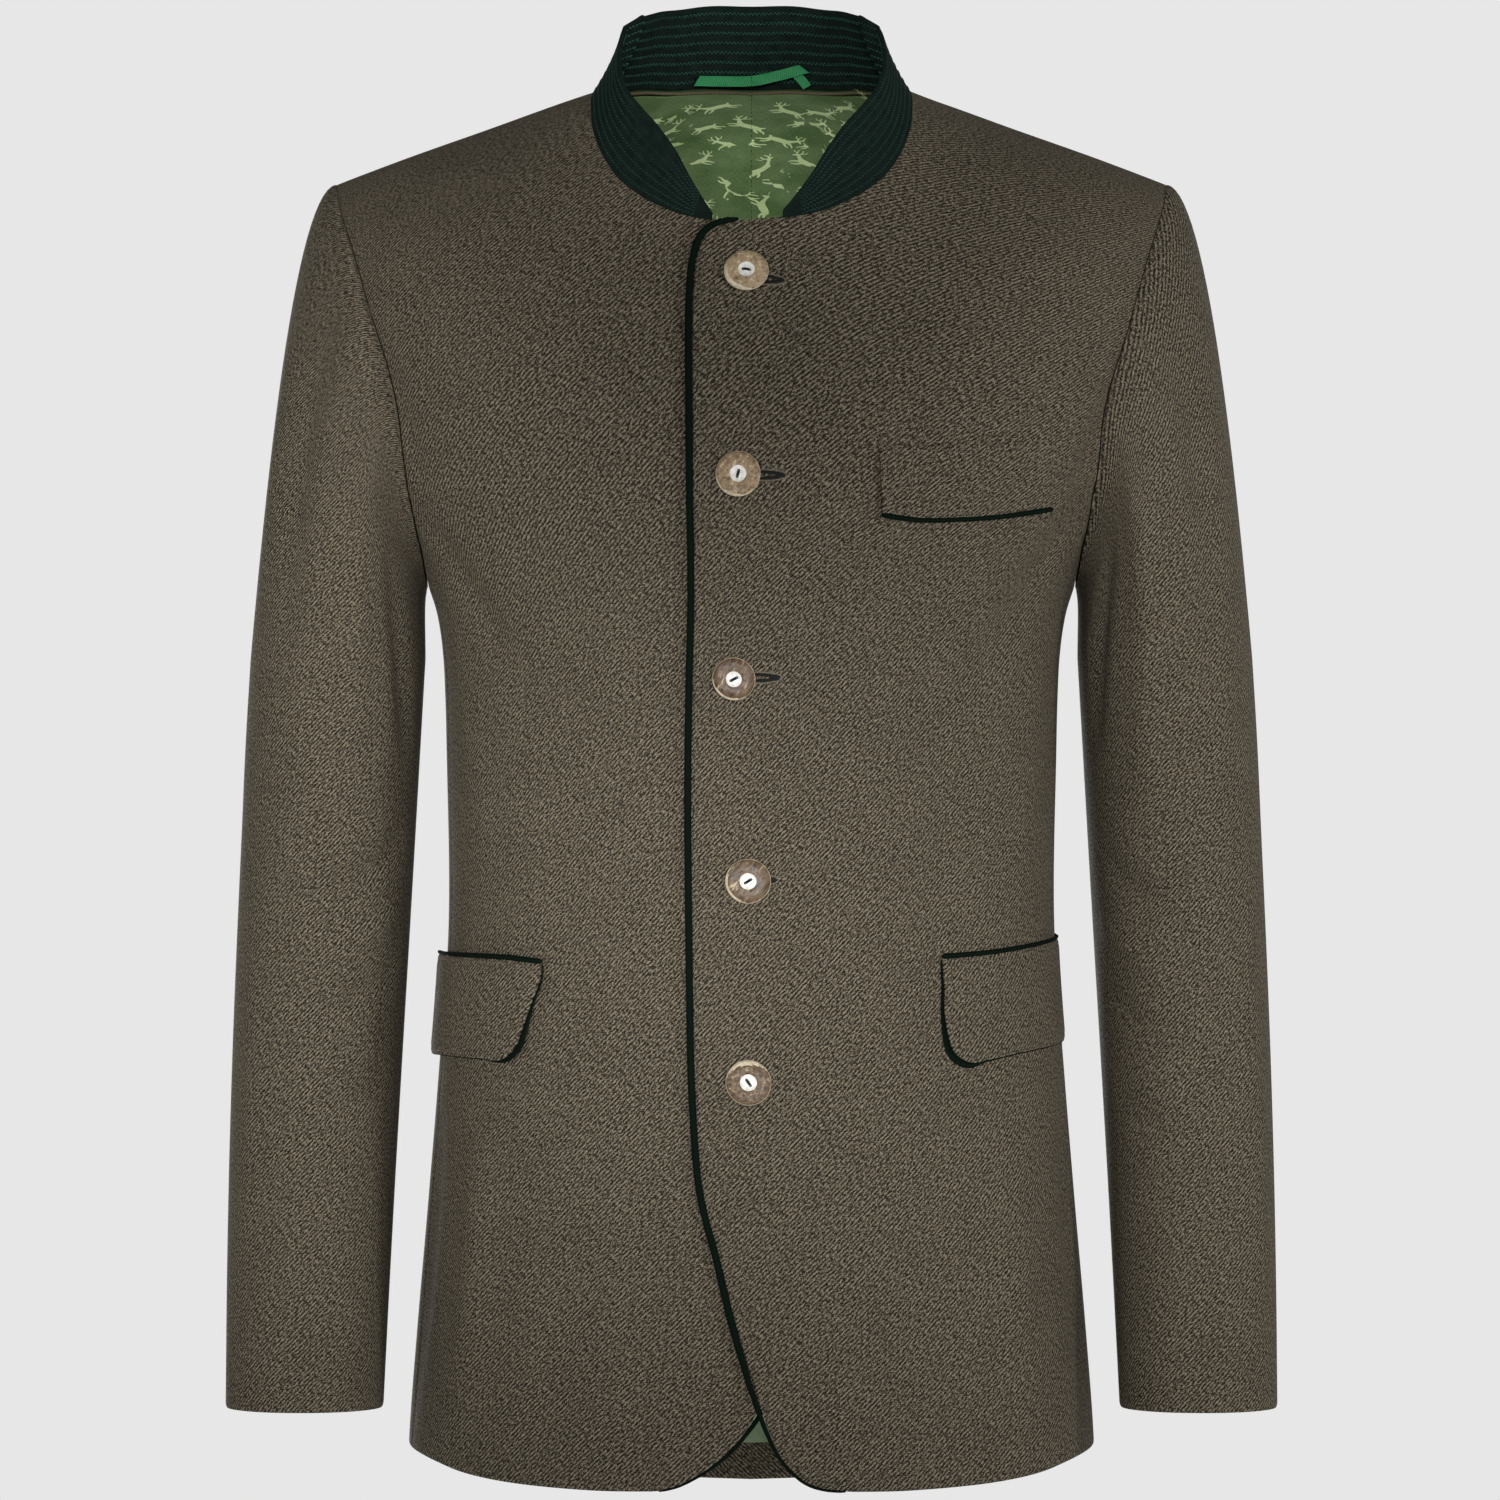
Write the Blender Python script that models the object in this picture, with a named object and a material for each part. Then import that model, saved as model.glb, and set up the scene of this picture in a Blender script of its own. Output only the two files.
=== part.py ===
"""Stand-collar jacket in wool twill, in the hollow shape that it has when worn.

Metres, +Z up. The front looks along -Y, the wearer's left is +X and z = 0 is
where the shoulder seam meets the collar. Every piece is a wall of its own,
and pieces that are sewn together are left a seam gap apart.
"""

import math

import bpy
import numpy as np
from mathutils import Vector, geometry
from mathutils.bvhtree import BVHTree

# Walls and gaps
WALL = 0.002
SEAM_HALF = 0.00015
GAP = 0.0003
LINING_WALL = 0.001
LINING_GAP = 0.0024
COLLAR_WALL = 0.0025
COLLAR_HOLLOW = 0.045
FLAP_WALL = 0.0016
FLAP_GAP = 0.0005

# Body form: the closing over the shoulders starts at ARM_LEVEL
SQUARE = 2.3
RIDGE_Y = 0.010
ARM_LEVEL = -0.220
RISE = 0.330
RADIUS = 0.155
FRONT_SEAM = math.radians(80.0)
BACK_SEAM = math.radians(118.0)

# Front overlap: the left front is lifted over the right one
LIFT = 0.0032
LIFT_FULL_X = 0.050
LIFT_END_X = 0.100

# Piping: half width across and half height
CORD_WIDE = 0.0019
CORD_HIGH = 0.0014
UNDER_CORD_HIGH = 0.0011
UNDER_CORD_DROP = 0.0016
FLAP_CORD = 0.0015

# Grid steps of the panels, with closer rows where the form closes over the shoulders
PANEL_STEP = 0.027
CLOSE_ROWS_FROM = 0.09
LINING_STEP = 0.034
FLAP_STEP = 0.014

# Body rings, mm: height, half width, front depth, back depth
BODY = (
    (-760, 184.7, 147, 146),
    (-715, 183.2, 146, 143),
    (-661, 179.2, 144, 138),
    (-590, 173.1, 141, 128),
    (-525, 167.8, 137, 113),
    (-444, 162.3, 132, 102),
    (-353, 163.2, 136, 109),
    (-320, 164.0, 139, 114),
    (-300, 165.0, 141, 117),
    (-285, 166.7, 142, 119),
    (-275, 168.6, 143, 120),
    (-262, 172.8, 144, 121),
    (-247, 178.5, 145, 122),
    (-220, 193.0, 146, 123),
    (-190, 207.0, 146, 123),
    (-160, 219.0, 146, 123),
    (-125, 230.5, 146, 122),
    (-80, 240.0, 145, 121),
    (-40, 246.0, 143, 120),
    (40, 250.0, 140, 118),
)

# Shoulder ridge, mm: distance from the middle, height for the front, for the back
RIDGE = (
    (0, 24.0, 30.0),
    (35, 19.5, 28.0),
    (60, 12.0, 18.5),
    (76, 6.4, 8.6),
    (85, 3.4, 3.4),
    (98, -1.0, -1.0),
    (142, -17.0, -17.0),
    (188, -33.4, -33.4),
    (229, -49.0, -49.0),
    (270, -66.0, -66.0),
)

# How square the closing over the shoulders is, mm: distance, front, back
CLOSING = (
    (0, 1.65, 2.40),
    (90, 1.80, 2.35),
    (160, 2.20, 2.30),
    (250, 2.30, 2.30),
)

# Hem: angle from the front centre in degrees, height in mm
HEM = (
    (-20, -734.3),
    (0, -734.3),
    (12.7, -735.2),
    (22, -735.4),
    (31, -734.4),
    (40, -732.9),
    (54, -729.0),
    (64, -724.8),
    (73, -722.0),
    (90, -720.0),
    (110, -723.0),
    (140, -738.0),
    (165, -748.5),
    (180, -751.0),
)

# Armhole from the underarm to the shoulder: height in mm, angle in degrees
ARMHOLE = (
    (-262.0, 90.0),
    (-259.5, 86.0),
    (-254.0, 81.5),
    (-247.4, 77.8),
    (-233.8, 72.2),
    (-212.4, 65.8),
    (-192.0, 61.6),
    (-174.3, 59.2),
    (-161.5, 58.3),
    (-143.6, 57.8),
    (-127.7, 57.8),
    (-100.5, 58.9),
    (-81.2, 60.4),
    (-66.7, 61.9),
    (-46.6, 63.4),
)

# Neck seam on the front, mm: distance from the middle, height
NECK_FRONT = (
    (-30.0, -70.5),
    (-7.0, -71.6),
    (0.0, -71.5),
    (10.0, -71.0),
    (20.7, -69.8),
    (33.4, -67.4),
    (50.2, -60.8),
    (67.7, -48.6),
    (77.0, -36.5),
    (83.1, -22.0),
    (85.5, -7.0),
    (85.0, 3.4),
)

# Places on it that have a corner or an end of the collar, mm from the middle
NECK_ENDS = (-7.0, 4.0, 16.0, 20.5)

# Neck seam on the back, mm: distance from the middle, height
NECK_BACK = (
    (85.0, 3.4),
    (81.0, 5.6),
    (76.0, 7.2),
    (60.0, 9.6),
    (35.0, 10.3),
    (0.0, 10.3),
)

# Front edge, the middle of its piping, mm: distance from the middle, height
FRONT_EDGE = (
    (-7.0, -71.6),
    (-15.5, -72.9),
    (-20.7, -74.7),
    (-24.9, -78.0),
    (-28.0, -82.9),
    (-30.1, -89.5),
    (-31.6, -98.1),
    (-32.4, -110.0),
    (-32.6, -167.0),
    (-32.4, -320.0),
    (-32.0, -479.0),
    (-30.7, -531.0),
    (-26.2, -583.0),
    (-18.0, -615.4),
    (-10.9, -645.6),
    (-3.0, -673.2),
    (2.3, -689.5),
    (8.6, -706.2),
    (13.8, -716.5),
    (21.6, -725.8),
    (29.4, -731.6),
    (37.7, -734.2),
    (48.6, -735.2),
)

# Hip flap on the wearer's right: angle in degrees, height in mm
HIP_RIGHT = (
    (38.7, -461.4),
    (38.7, -468.8),
    (40.3, -481.0),
    (41.9, -494.2),
    (43.6, -506.0),
    (46.5, -511.6),
    (53.6, -511.8),
    (61.7, -511.3),
    (75.0, -511.0),
    (92.0, -511.0),
    (98.6, -509.5),
    (101.3, -504.0),
    (102.0, -490.0),
    (102.0, -472.0),
    (101.5, -459.5),
    (90.0, -458.5),
    (75.0, -458.6),
    (60.0, -459.0),
    (48.0, -459.6),
)

# Hip flap on the wearer's left: angle in degrees, height in mm
HIP_LEFT = (
    (34.9, -458.6),
    (34.9, -472.6),
    (34.5, -486.8),
    (34.9, -498.3),
    (36.0, -507.6),
    (39.2, -512.8),
    (44.6, -511.7),
    (51.5, -509.5),
    (60.0, -507.4),
    (75.0, -505.2),
    (90.0, -503.3),
    (95.6, -501.3),
    (98.3, -496.0),
    (99.0, -482.0),
    (99.0, -462.0),
    (98.5, -449.2),
    (84.0, -450.3),
    (62.6, -453.6),
    (48.0, -456.6),
)

# Chest flap, mm: distance from the middle, height
CHEST = (
    (67.2, -225.0),
    (86.0, -227.4),
    (108.0, -227.0),
    (130.3, -225.2),
    (158.2, -220.6),
    (158.9, -204.0),
    (159.6, -188.2),
    (128.0, -189.2),
    (97.0, -190.6),
    (66.0, -192.0),
    (66.5, -208.0),
)

# Sleeve sections, mm: height, outer side, inner side, middle y, half depth
SLEEVE = (
    (-300, 268.0, 174.6, 5, 66.0),
    (-340, 270.6, 177.0, 8, 63.5),
    (-395, 273.2, 180.2, 10, 60.5),
    (-450, 275.7, 183.4, 10, 58.0),
    (-510, 277.8, 186.8, 5, 55.5),
    (-570, 279.0, 189.9, -6, 53.0),
    (-630, 279.3, 192.6, -22, 50.0),
    (-697, 278.7, 195.2, -45, 47.0),
)
SLEEVE_SQUARE = 2.15

# Sleeve head, at four sides: angle in degrees, direction away from the
# armhole, length of that handle, length and x shift of the lower handle (mm)
HEAD = (
    (0, 1.0, 0.0, 0.04, 19.5, 130, -11.3),
    (90, 0.92, -0.30, 0.10, 20.0, 68, -3.0),
    (180, 0.55, 0.0, -0.84, 5.0, 16, 0.0),
    (270, 0.92, 0.32, 0.10, 20.0, 72, -3.0),
    (360, 1.0, 0.0, 0.04, 19.5, 130, -11.3),
)
SLEEVE_SEAMS = (200.0, 286.0)

# Collar, mm: neck x, neck z, on the back or not, then x, y and z of its top edge
COLLAR_RIGHT_END = (20.5, -69.9, 0, 20.3, -88.6, -67.2)
COLLAR_LEFT_END = (16.0, -70.3, 0, 16.3, -89.4, -67.4)
COLLAR = (
    (33.4, -67.4, 0, 30.5, -73.5, -45.5),
    (50.2, -60.8, 0, 40.6, -62.0, -29.5),
    (67.7, -48.6, 0, 53.0, -51.0, -14.0),
    (77.0, -36.5, 0, 64.5, -40.5, -1.5),
    (83.1, -22.0, 0, 71.0, -26.0, 11.5),
    (85.5, -7.0, 0, 71.2, -9.5, 26.5),
    (85.0, 3.4, 0, 68.6, 8.5, 37.6),
    (76.0, 7.2, 1, 61.8, 28.0, 44.2),
    (60.0, 9.6, 1, 50.5, 45.0, 48.3),
    (35.0, 10.3, 1, 31.0, 57.5, 51.6),
    (0.0, 10.3, 1, 0.0, 62.0, 53.0),
)

# Hanger loop, mm: x, y, z of its middle line
LOOP = (
    (-29.5, 59.8, 13.2),
    (-15.0, 60.2, 12.9),
    (1.5, 60.0, 13.2),
    (15.5, 59.6, 16.2),
    (28.5, 58.4, 19.6),
)
LOOP_WIDE = 0.0058
LOOP_THICK = 0.0009

# Buttons, mm: distance from the middle, height, radius
BUTTONS = (
    (-2.9, -100.1, 11.7),
    (-7.0, -205.8, 11.8),
    (-9.1, -311.5, 11.2),
    (-1.8, -417.3, 11.8),
    (-1.6, -522.7, 11.9),
)

BUTTON_SIDES = 18

# Button profile: part of the radius, height in mm
BUTTON_PROFILE = (
    (0.72, 0.0),
    (0.96, 0.7),
    (1.00, 1.7),
    (0.95, 2.7),
    (0.80, 3.4),
    (0.40, 3.6),
    (0.34, 3.3),
)

# Colours: red, green, blue, roughness
TWILL = (0.098, 0.082, 0.058, 0.92)
MELTON = (0.0095, 0.0190, 0.0150, 0.95)
PIPING = (0.0100, 0.0200, 0.0140, 0.85)
LINING = (0.098, 0.165, 0.062, 0.45)
RIBBON = (0.012, 0.150, 0.045, 0.55)
HORN = (0.420, 0.290, 0.150, 0.40)


def smooth(rows, at, column=1):
    """Reads one column of a table along a smooth curve through its rows."""
    table = np.array(rows, dtype=float)
    table = table[np.argsort(table[:, 0], kind="stable")]
    keys = table[:, 0]
    values = table[:, column]
    slopes = np.gradient(values, keys)
    at = np.asarray(at, dtype=float)
    i = np.clip(np.searchsorted(keys, at, side="right") - 1, 0, len(keys) - 2)
    span = keys[i + 1] - keys[i]
    u = np.clip((at - keys[i]) / span, 0.0, 1.0)
    start = (1 + 2 * u) * (1 - u) ** 2 * values[i]
    leave = u * (1 - u) ** 2 * span * slopes[i]
    end = u * u * (3 - 2 * u) * values[i + 1]
    arrive = u * u * (u - 1) * span * slopes[i + 1]
    return start + leave + end + arrive


def through(points, count):
    """A smooth line through some points, at evenly spaced places along it."""
    points = np.array(points, dtype=float)
    steps = np.linalg.norm(np.diff(points, axis=0), axis=1)
    keys = np.concatenate([[0.0], np.cumsum(steps)])
    fine = np.linspace(0.0, keys[-1], 40 * len(points))
    columns = [np.stack([keys, values], axis=1) for values in points.T]
    line = np.stack([smooth(column, fine) for column in columns], axis=1)
    lengths = np.concatenate([[0.0], np.cumsum(np.linalg.norm(np.diff(line, axis=0), axis=1))])
    even = np.linspace(0.0, lengths[-1], count)
    return np.stack([np.interp(even, lengths, values) for values in line.T], axis=1)


def paced(points, count):
    """A smooth line through some points, with more places where it bends."""
    line = through(points, 900)
    way = np.diff(line, axis=0)
    steps = np.linalg.norm(way, axis=1)
    turn = np.abs(np.diff(np.unwrap(np.arctan2(way[:, 1], way[:, 0]))))
    effort = steps / 0.030 + np.concatenate([turn, [0.0]]) / 0.16
    effort = np.concatenate([[0.0], np.cumsum(effort)])
    even = np.linspace(0.0, effort[-1], count)
    return np.stack([np.interp(even, effort, line[:, k]) for k in range(2)], axis=1)


def half_width(z):
    return smooth(BODY, z * 1000, 1) / 1000


def ridge_height(x, front):
    return np.where(front, smooth(RIDGE, x * 1000, 1), smooth(RIDGE, x * 1000, 2)) / 1000


def body_point(t, w):
    """Points of the body form, t its angle from the front, w the way up along it."""
    t, w = np.broadcast_arrays(np.asarray(t, dtype=float), np.asarray(w, dtype=float))
    front = np.cos(t) >= 0
    side = np.abs(np.sin(t)) ** (2 / SQUARE)
    deep = np.abs(np.cos(t)) ** (2 / SQUARE)
    s = np.sin(np.clip(w, 0, RISE) / RISE * math.pi / 2)
    z = ARM_LEVEL + np.minimum(w, 0) + 0.5 * np.maximum(w, 0)
    for _ in range(16):
        x = half_width(z) * side
        top = ridge_height(x, front)
        z = np.where(w > 0, ARM_LEVEL + s * (top - ARM_LEVEL), ARM_LEVEL + w)
    power = np.where(front, smooth(CLOSING, x * 1000, 1), smooth(CLOSING, x * 1000, 2))
    closing = np.maximum(1 - s ** power, 0) ** (1 / power)
    depth = np.where(front, smooth(BODY, z * 1000, 2), smooth(BODY, z * 1000, 3)) / 1000
    y = RIDGE_Y + np.where(front, -1, 1) * depth * deep * closing
    return np.stack([np.sign(np.sin(t)) * x, y, z], axis=-1)


def unit(vectors):
    return vectors / np.maximum(np.linalg.norm(vectors, axis=-1, keepdims=True), 1e-12)


def body_normal(t, w):
    """Directions that point out of the body form, level along the shoulder ridge."""
    step = 0.0006
    t = np.asarray(t, dtype=float)
    w = np.asarray(w, dtype=float)
    inside = np.minimum(w, RISE - 0.002)
    along = body_point(t + step * 4, inside) - body_point(t - step * 4, inside)
    up = body_point(t, inside + step) - body_point(t, inside - step)
    normal = unit(np.cross(along, up))
    level = np.clip((RISE - w - 0.0003) / 0.006, 0, 1)
    normal[..., 1] *= level
    return unit(normal)


def body(t, w, offset=0.0):
    """Points at some distance out of the body form."""
    offset = np.asarray(offset, dtype=float)[..., None]
    return body_point(t, w) + body_normal(t, w) * offset


def place(x, z, back=False):
    """Angle and way up of the point of the form that has this x and z, in metres."""
    x = np.asarray(x, dtype=float)
    z = np.asarray(z, dtype=float)
    ratio = np.clip(np.abs(x) / half_width(z), 0, 1)
    t = np.sign(x) * np.arcsin(ratio ** (SQUARE / 2))
    top = ridge_height(np.abs(x), not back)
    s = np.clip((z - ARM_LEVEL) / (top - ARM_LEVEL), 0, 1)
    w = np.where(z > ARM_LEVEL, np.arcsin(s) * 2 / math.pi * RISE, z - ARM_LEVEL)
    if back:
        t = math.pi - t
    return t, w


def flat(rows, back=False):
    """Rows of x and z in mm as points (u, w) of the unrolled form."""
    rows = np.array(rows, dtype=float) / 1000
    t, w = place(rows[:, 0], rows[:, 1], back)
    return np.stack([t * RADIUS, w], axis=1)


def flat_at_angles(rows):
    """Rows of degrees and height in mm as points (u, w) of the unrolled form."""
    rows = np.array(rows, dtype=float)
    t = np.radians(rows[:, 0])
    z = rows[:, 1] / 1000
    x = half_width(z) * np.abs(np.sin(t)) ** (2 / SQUARE)
    _, w = place(x, z)
    return np.stack([t * RADIUS, w], axis=1)


def hem_height(t):
    """Way up of the hem at an angle."""
    t = np.abs(np.asarray(t, dtype=float))
    t = np.where(t > math.pi, 2 * math.pi - t, t)
    return smooth(HEM, np.degrees(t)) / 1000 - ARM_LEVEL


def armhole_flat():
    """The armhole from the shoulder down the front, under the arm and up the back."""
    rows = [(angle, height) for height, angle in ARMHOLE]
    front = flat_at_angles(rows)[::-1]
    front[0, 1] = RISE
    back = front[::-1].copy()
    back[:, 0] = math.pi * RADIUS - back[:, 0]
    line = through(np.concatenate([front, back[1:]]), 400)
    line[0, 1] = RISE
    line[-1, 1] = RISE
    return line


def armhole_parts(front_count, under_count, back_count):
    """Stations of the armhole in the three panels that it crosses."""
    line = armhole_flat()
    u = line[:, 0]
    lowest = int(np.argmin(line[:, 1]))
    first = lowest - int(np.argmin(np.abs(u[:lowest][::-1] - FRONT_SEAM * RADIUS))) - 1
    last = lowest + int(np.argmax(u[lowest:] >= BACK_SEAM * RADIUS))
    line[first, 0] = FRONT_SEAM * RADIUS
    line[last, 0] = BACK_SEAM * RADIUS
    front = line[np.linspace(0, first, front_count).round().astype(int)]
    under = line[np.linspace(first, last, under_count).round().astype(int)]
    back = line[np.linspace(last, len(line) - 1, back_count).round().astype(int)]
    return front, under, back


def inset(outline, distances):
    """Moves every side of an outline inwards by its own distance."""
    outline = np.array(outline, dtype=float)
    distances = np.asarray(distances, dtype=float)
    result = []
    count = len(outline)
    for i in range(count):
        before = outline[i] - outline[i - 1]
        after = outline[(i + 1) % count] - outline[i]
        before = before / np.linalg.norm(before)
        after = after / np.linalg.norm(after)
        n1 = np.array([-before[1], before[0]])
        n2 = np.array([-after[1], after[0]])
        d1 = distances[i - 1]
        d2 = distances[i]
        turn = before[0] * after[1] - before[1] * after[0]
        if abs(turn) < 0.45:
            result.append(outline[i] + (n1 * d1 + n2 * d2) / 2)
        else:
            corner = outline[i] + n1 * d1
            reach = np.dot(n2 * d2 - n1 * d1, n2) / np.dot(before, n2)
            result.append(corner + before * reach)
    return np.array(result)


def inside(points, outline):
    """Tells which points lie within an outline."""
    x = points[:, 0]
    y = points[:, 1]
    result = np.zeros(len(points), dtype=bool)
    ends = np.roll(outline, -1, axis=0)
    for (x1, y1), (x2, y2) in zip(outline, ends):
        crosses = (y1 > y) != (y2 > y)
        rise = y2 - y1 if abs(y2 - y1) > 1e-12 else 1e-12
        result ^= crosses & (x < (x2 - x1) * (y - y1) / rise + x1)
    return result


def distance_to(points, outline):
    """Distance of every point from the sides of an outline."""
    best = np.full(len(points), 1e9)
    ends = np.roll(outline, -1, axis=0)
    for a, b in zip(outline, ends):
        side = b - a
        length = max(float(np.dot(side, side)), 1e-18)
        u = np.clip(((points - a) @ side) / length, 0, 1)
        gap = np.linalg.norm(points - (a + u[:, None] * side), axis=1)
        best = np.minimum(best, gap)
    return best


def fill(outline, step):
    """Points and triangles that fill an outline with an even grid."""
    low = outline.min(axis=0)
    high = outline.max(axis=0)
    grid = []
    row = 0
    w = low[1] + step * 0.5
    while w < high[1]:
        shift = 0.5 * step * (row % 2)
        across = np.arange(low[0] + shift, high[0], step)
        grid.append(np.stack([across, np.full(len(across), w)], axis=1))
        w += step * (0.9 if w < CLOSE_ROWS_FROM else 0.52)
        row += 1
    grid = np.concatenate(grid)
    grid = grid[inside(grid, outline)]
    grid = grid[distance_to(grid, outline) > 0.55 * step]
    points = [Vector(p) for p in np.concatenate([outline, grid])]
    loop = [list(range(len(outline)))]
    found = geometry.delaunay_2d_cdt(points, [], loop, 1, 1e-9)
    vertices = np.array([tuple(v) for v in found[0]])
    faces = [tuple(f) for f in found[2]]
    return vertices, faces


def boundary(faces):
    """Sides that belong to one triangle only, in its direction."""
    sides = set()
    for face in faces:
        for k in range(len(face)):
            sides.add((face[k], face[(k + 1) % len(face)]))
    return [side for side in sides if (side[1], side[0]) not in sides]


def wall(outer, inner, faces):
    """Closes two equal sheets of points into one wall."""
    count = len(outer)
    vertices = np.concatenate([outer, inner])
    closed = [tuple(face) for face in faces]
    closed += [tuple(k + count for k in reversed(face)) for face in faces]
    for a, b in sorted(boundary(faces)):
        closed.append((a, a + count, b + count, b))
    return vertices, closed


def panel(outline, step, outer, inner):
    """A wall on the body form, inside an outline of the unrolled form."""
    points, faces = fill(outline, step)
    t = points[:, 0] / RADIUS
    w = np.minimum(points[:, 1], RISE)
    return wall(body(t, w, outer(t, w)), body(t, w, inner(t, w)), faces)


def grid_faces(rows, columns, closed=False):
    """Four-sided faces of a grid of points that is stored row by row."""
    faces = []
    for r in range(rows - 1):
        for c in range(columns if closed else columns - 1):
            n = (c + 1) % columns
            faces.append((r * columns + c, r * columns + n, (r + 1) * columns + n, (r + 1) * columns + c))
    return faces


def tube(path, normals, wide, high, sides=6):
    """A cord with capped ends along a path, flattened along the normals."""
    path = np.array(path, dtype=float)
    tangents = unit(np.gradient(path, axis=0))
    across = unit(np.cross(tangents, normals))
    up = unit(np.cross(across, tangents))
    turns = np.arange(sides) * 2 * math.pi / sides + math.pi / sides
    rings = [p + wide * math.cos(a) * q + high * math.sin(a) * n
             for p, q, n in zip(path, across, up) for a in turns]
    faces = grid_faces(len(path), sides, closed=True)
    last = (len(path) - 1) * sides
    faces.append(tuple(reversed(range(sides))))
    faces.append(tuple(last + k for k in range(sides)))
    return np.array(rings), faces


def volume(vertices, faces):
    total = 0.0
    for face in faces:
        a = vertices[face[0]]
        for k in range(1, len(face) - 1):
            total += np.dot(a, np.cross(vertices[face[k]], vertices[face[k + 1]]))
    return total / 6


def material(name, values):
    red, green, blue, roughness = values
    made = bpy.data.materials.new(name)
    made.use_nodes = True
    shader = made.node_tree.nodes["Principled BSDF"]
    shader.inputs["Base Color"].default_value = (red, green, blue, 1.0)
    shader.inputs["Roughness"].default_value = roughness
    shader.inputs["Metallic"].default_value = 0.0
    made.diffuse_color = (red, green, blue, 1.0)
    return made


def add(name, shape, values, mirrored=False):
    """Adds one named solid with its own material."""
    vertices, faces = shape
    vertices = np.array(vertices, dtype=float)
    if mirrored:
        vertices[:, 0] *= -1
    if volume(vertices, faces) < 0:
        faces = [tuple(reversed(face)) for face in faces]
    mesh = bpy.data.meshes.new(name)
    mesh.from_pydata([tuple(v) for v in vertices], [], faces)
    mesh.update()
    mesh.materials.append(material(name + "_material", values))
    thing = bpy.data.objects.new(name, mesh)
    bpy.context.scene.collection.objects.link(thing)
    return thing


def lift(t, w):
    """How far the left front is lifted over the right one."""
    x = body_point(t, w)[..., 0]
    u = np.clip((LIFT_END_X - x) / (LIFT_END_X - LIFT_FULL_X), 0, 1)
    return LIFT * u * u * (3 - 2 * u)


def no_lift(t, w):
    return np.zeros(np.shape(t))


def below(distance, base=no_lift):
    """Offset of a sheet that lies this far under another one."""
    return lambda t, w: base(t, w) - distance


def front_edge_flat():
    return paced(flat(FRONT_EDGE), 50)


def neck_front_flat():
    """Neck seam of the front from its free end to the shoulder seam."""
    line = through(flat(NECK_FRONT)[1:], 600)
    x = body_point(line[:, 0] / RADIUS, line[:, 1])[:, 0]
    picks = [int(np.argmin(np.abs(x[:400] - value / 1000))) for value in NECK_ENDS]
    rest = np.linspace(picks[-1], len(line) - 1, 13).round().astype(int)
    line = line[picks[:-1] + list(rest)]
    line[-1, 1] = RISE
    return line


def neck_back_flat():
    """Neck seam of the back from the shoulder seam to the centre back."""
    line = through(flat(NECK_BACK, back=True), 9)
    line[0, 1] = RISE
    line[-1, 0] = math.pi * RADIUS
    return line


def front_outline():
    """Outline of the left front on the unrolled form, with its insets."""
    armhole, _, _ = armhole_parts(12, 5, 12)
    edge = front_edge_flat()
    hem_u = np.linspace(edge[-1, 0], FRONT_SEAM * RADIUS, 11)
    hem = np.stack([hem_u, hem_height(hem_u / RADIUS)], axis=1)
    seam_w = np.linspace(hem[-1, 1], armhole[-1, 1], 22)
    seam = np.stack([np.full(22, FRONT_SEAM * RADIUS), seam_w], axis=1)
    neck = neck_front_flat()[::-1]
    shoulder_u = np.linspace(armhole[0, 0], neck[0, 0], 9)
    shoulder = np.stack([shoulder_u, np.full(9, RISE)], axis=1)
    cord = CORD_WIDE + GAP
    hem_gaps = np.maximum(cord - np.arange(10) * 0.0008, 0.0)
    neck_gaps = np.full(len(neck) - 1, SEAM_HALF)
    neck_gaps[-2:] = (0.0012, cord)
    parts = [(hem[:-1], hem_gaps), (seam[:-1], SEAM_HALF), (armhole[::-1][:-1], SEAM_HALF),
             (shoulder[:-1], SEAM_HALF), (neck[:-1], neck_gaps), (edge[:-1], cord)]
    return join_parts(parts)


def join_parts(parts):
    """One closed outline from its stretches, each with its own inset."""
    points = np.concatenate([part for part, _ in parts])
    distances = np.concatenate([np.full(len(part), 1.0) * d for part, d in parts])
    return inset(points, distances)


def side_outline():
    """Outline of the panel under the left arm."""
    _, under, _ = armhole_parts(12, 5, 12)
    hem_u = np.linspace(FRONT_SEAM * RADIUS, BACK_SEAM * RADIUS, 6)
    hem = np.stack([hem_u, hem_height(hem_u / RADIUS)], axis=1)
    back_w = np.linspace(hem[-1, 1], under[-1, 1], 22)
    front_w = np.linspace(under[0, 1], hem[0, 1], 22)
    back = np.stack([np.full(22, BACK_SEAM * RADIUS), back_w], axis=1)
    front = np.stack([np.full(22, FRONT_SEAM * RADIUS), front_w], axis=1)
    parts = [(hem[:-1], 0.0), (back[:-1], SEAM_HALF),
             (under[::-1][:-1], SEAM_HALF), (front[:-1], SEAM_HALF)]
    return join_parts(parts)


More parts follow.
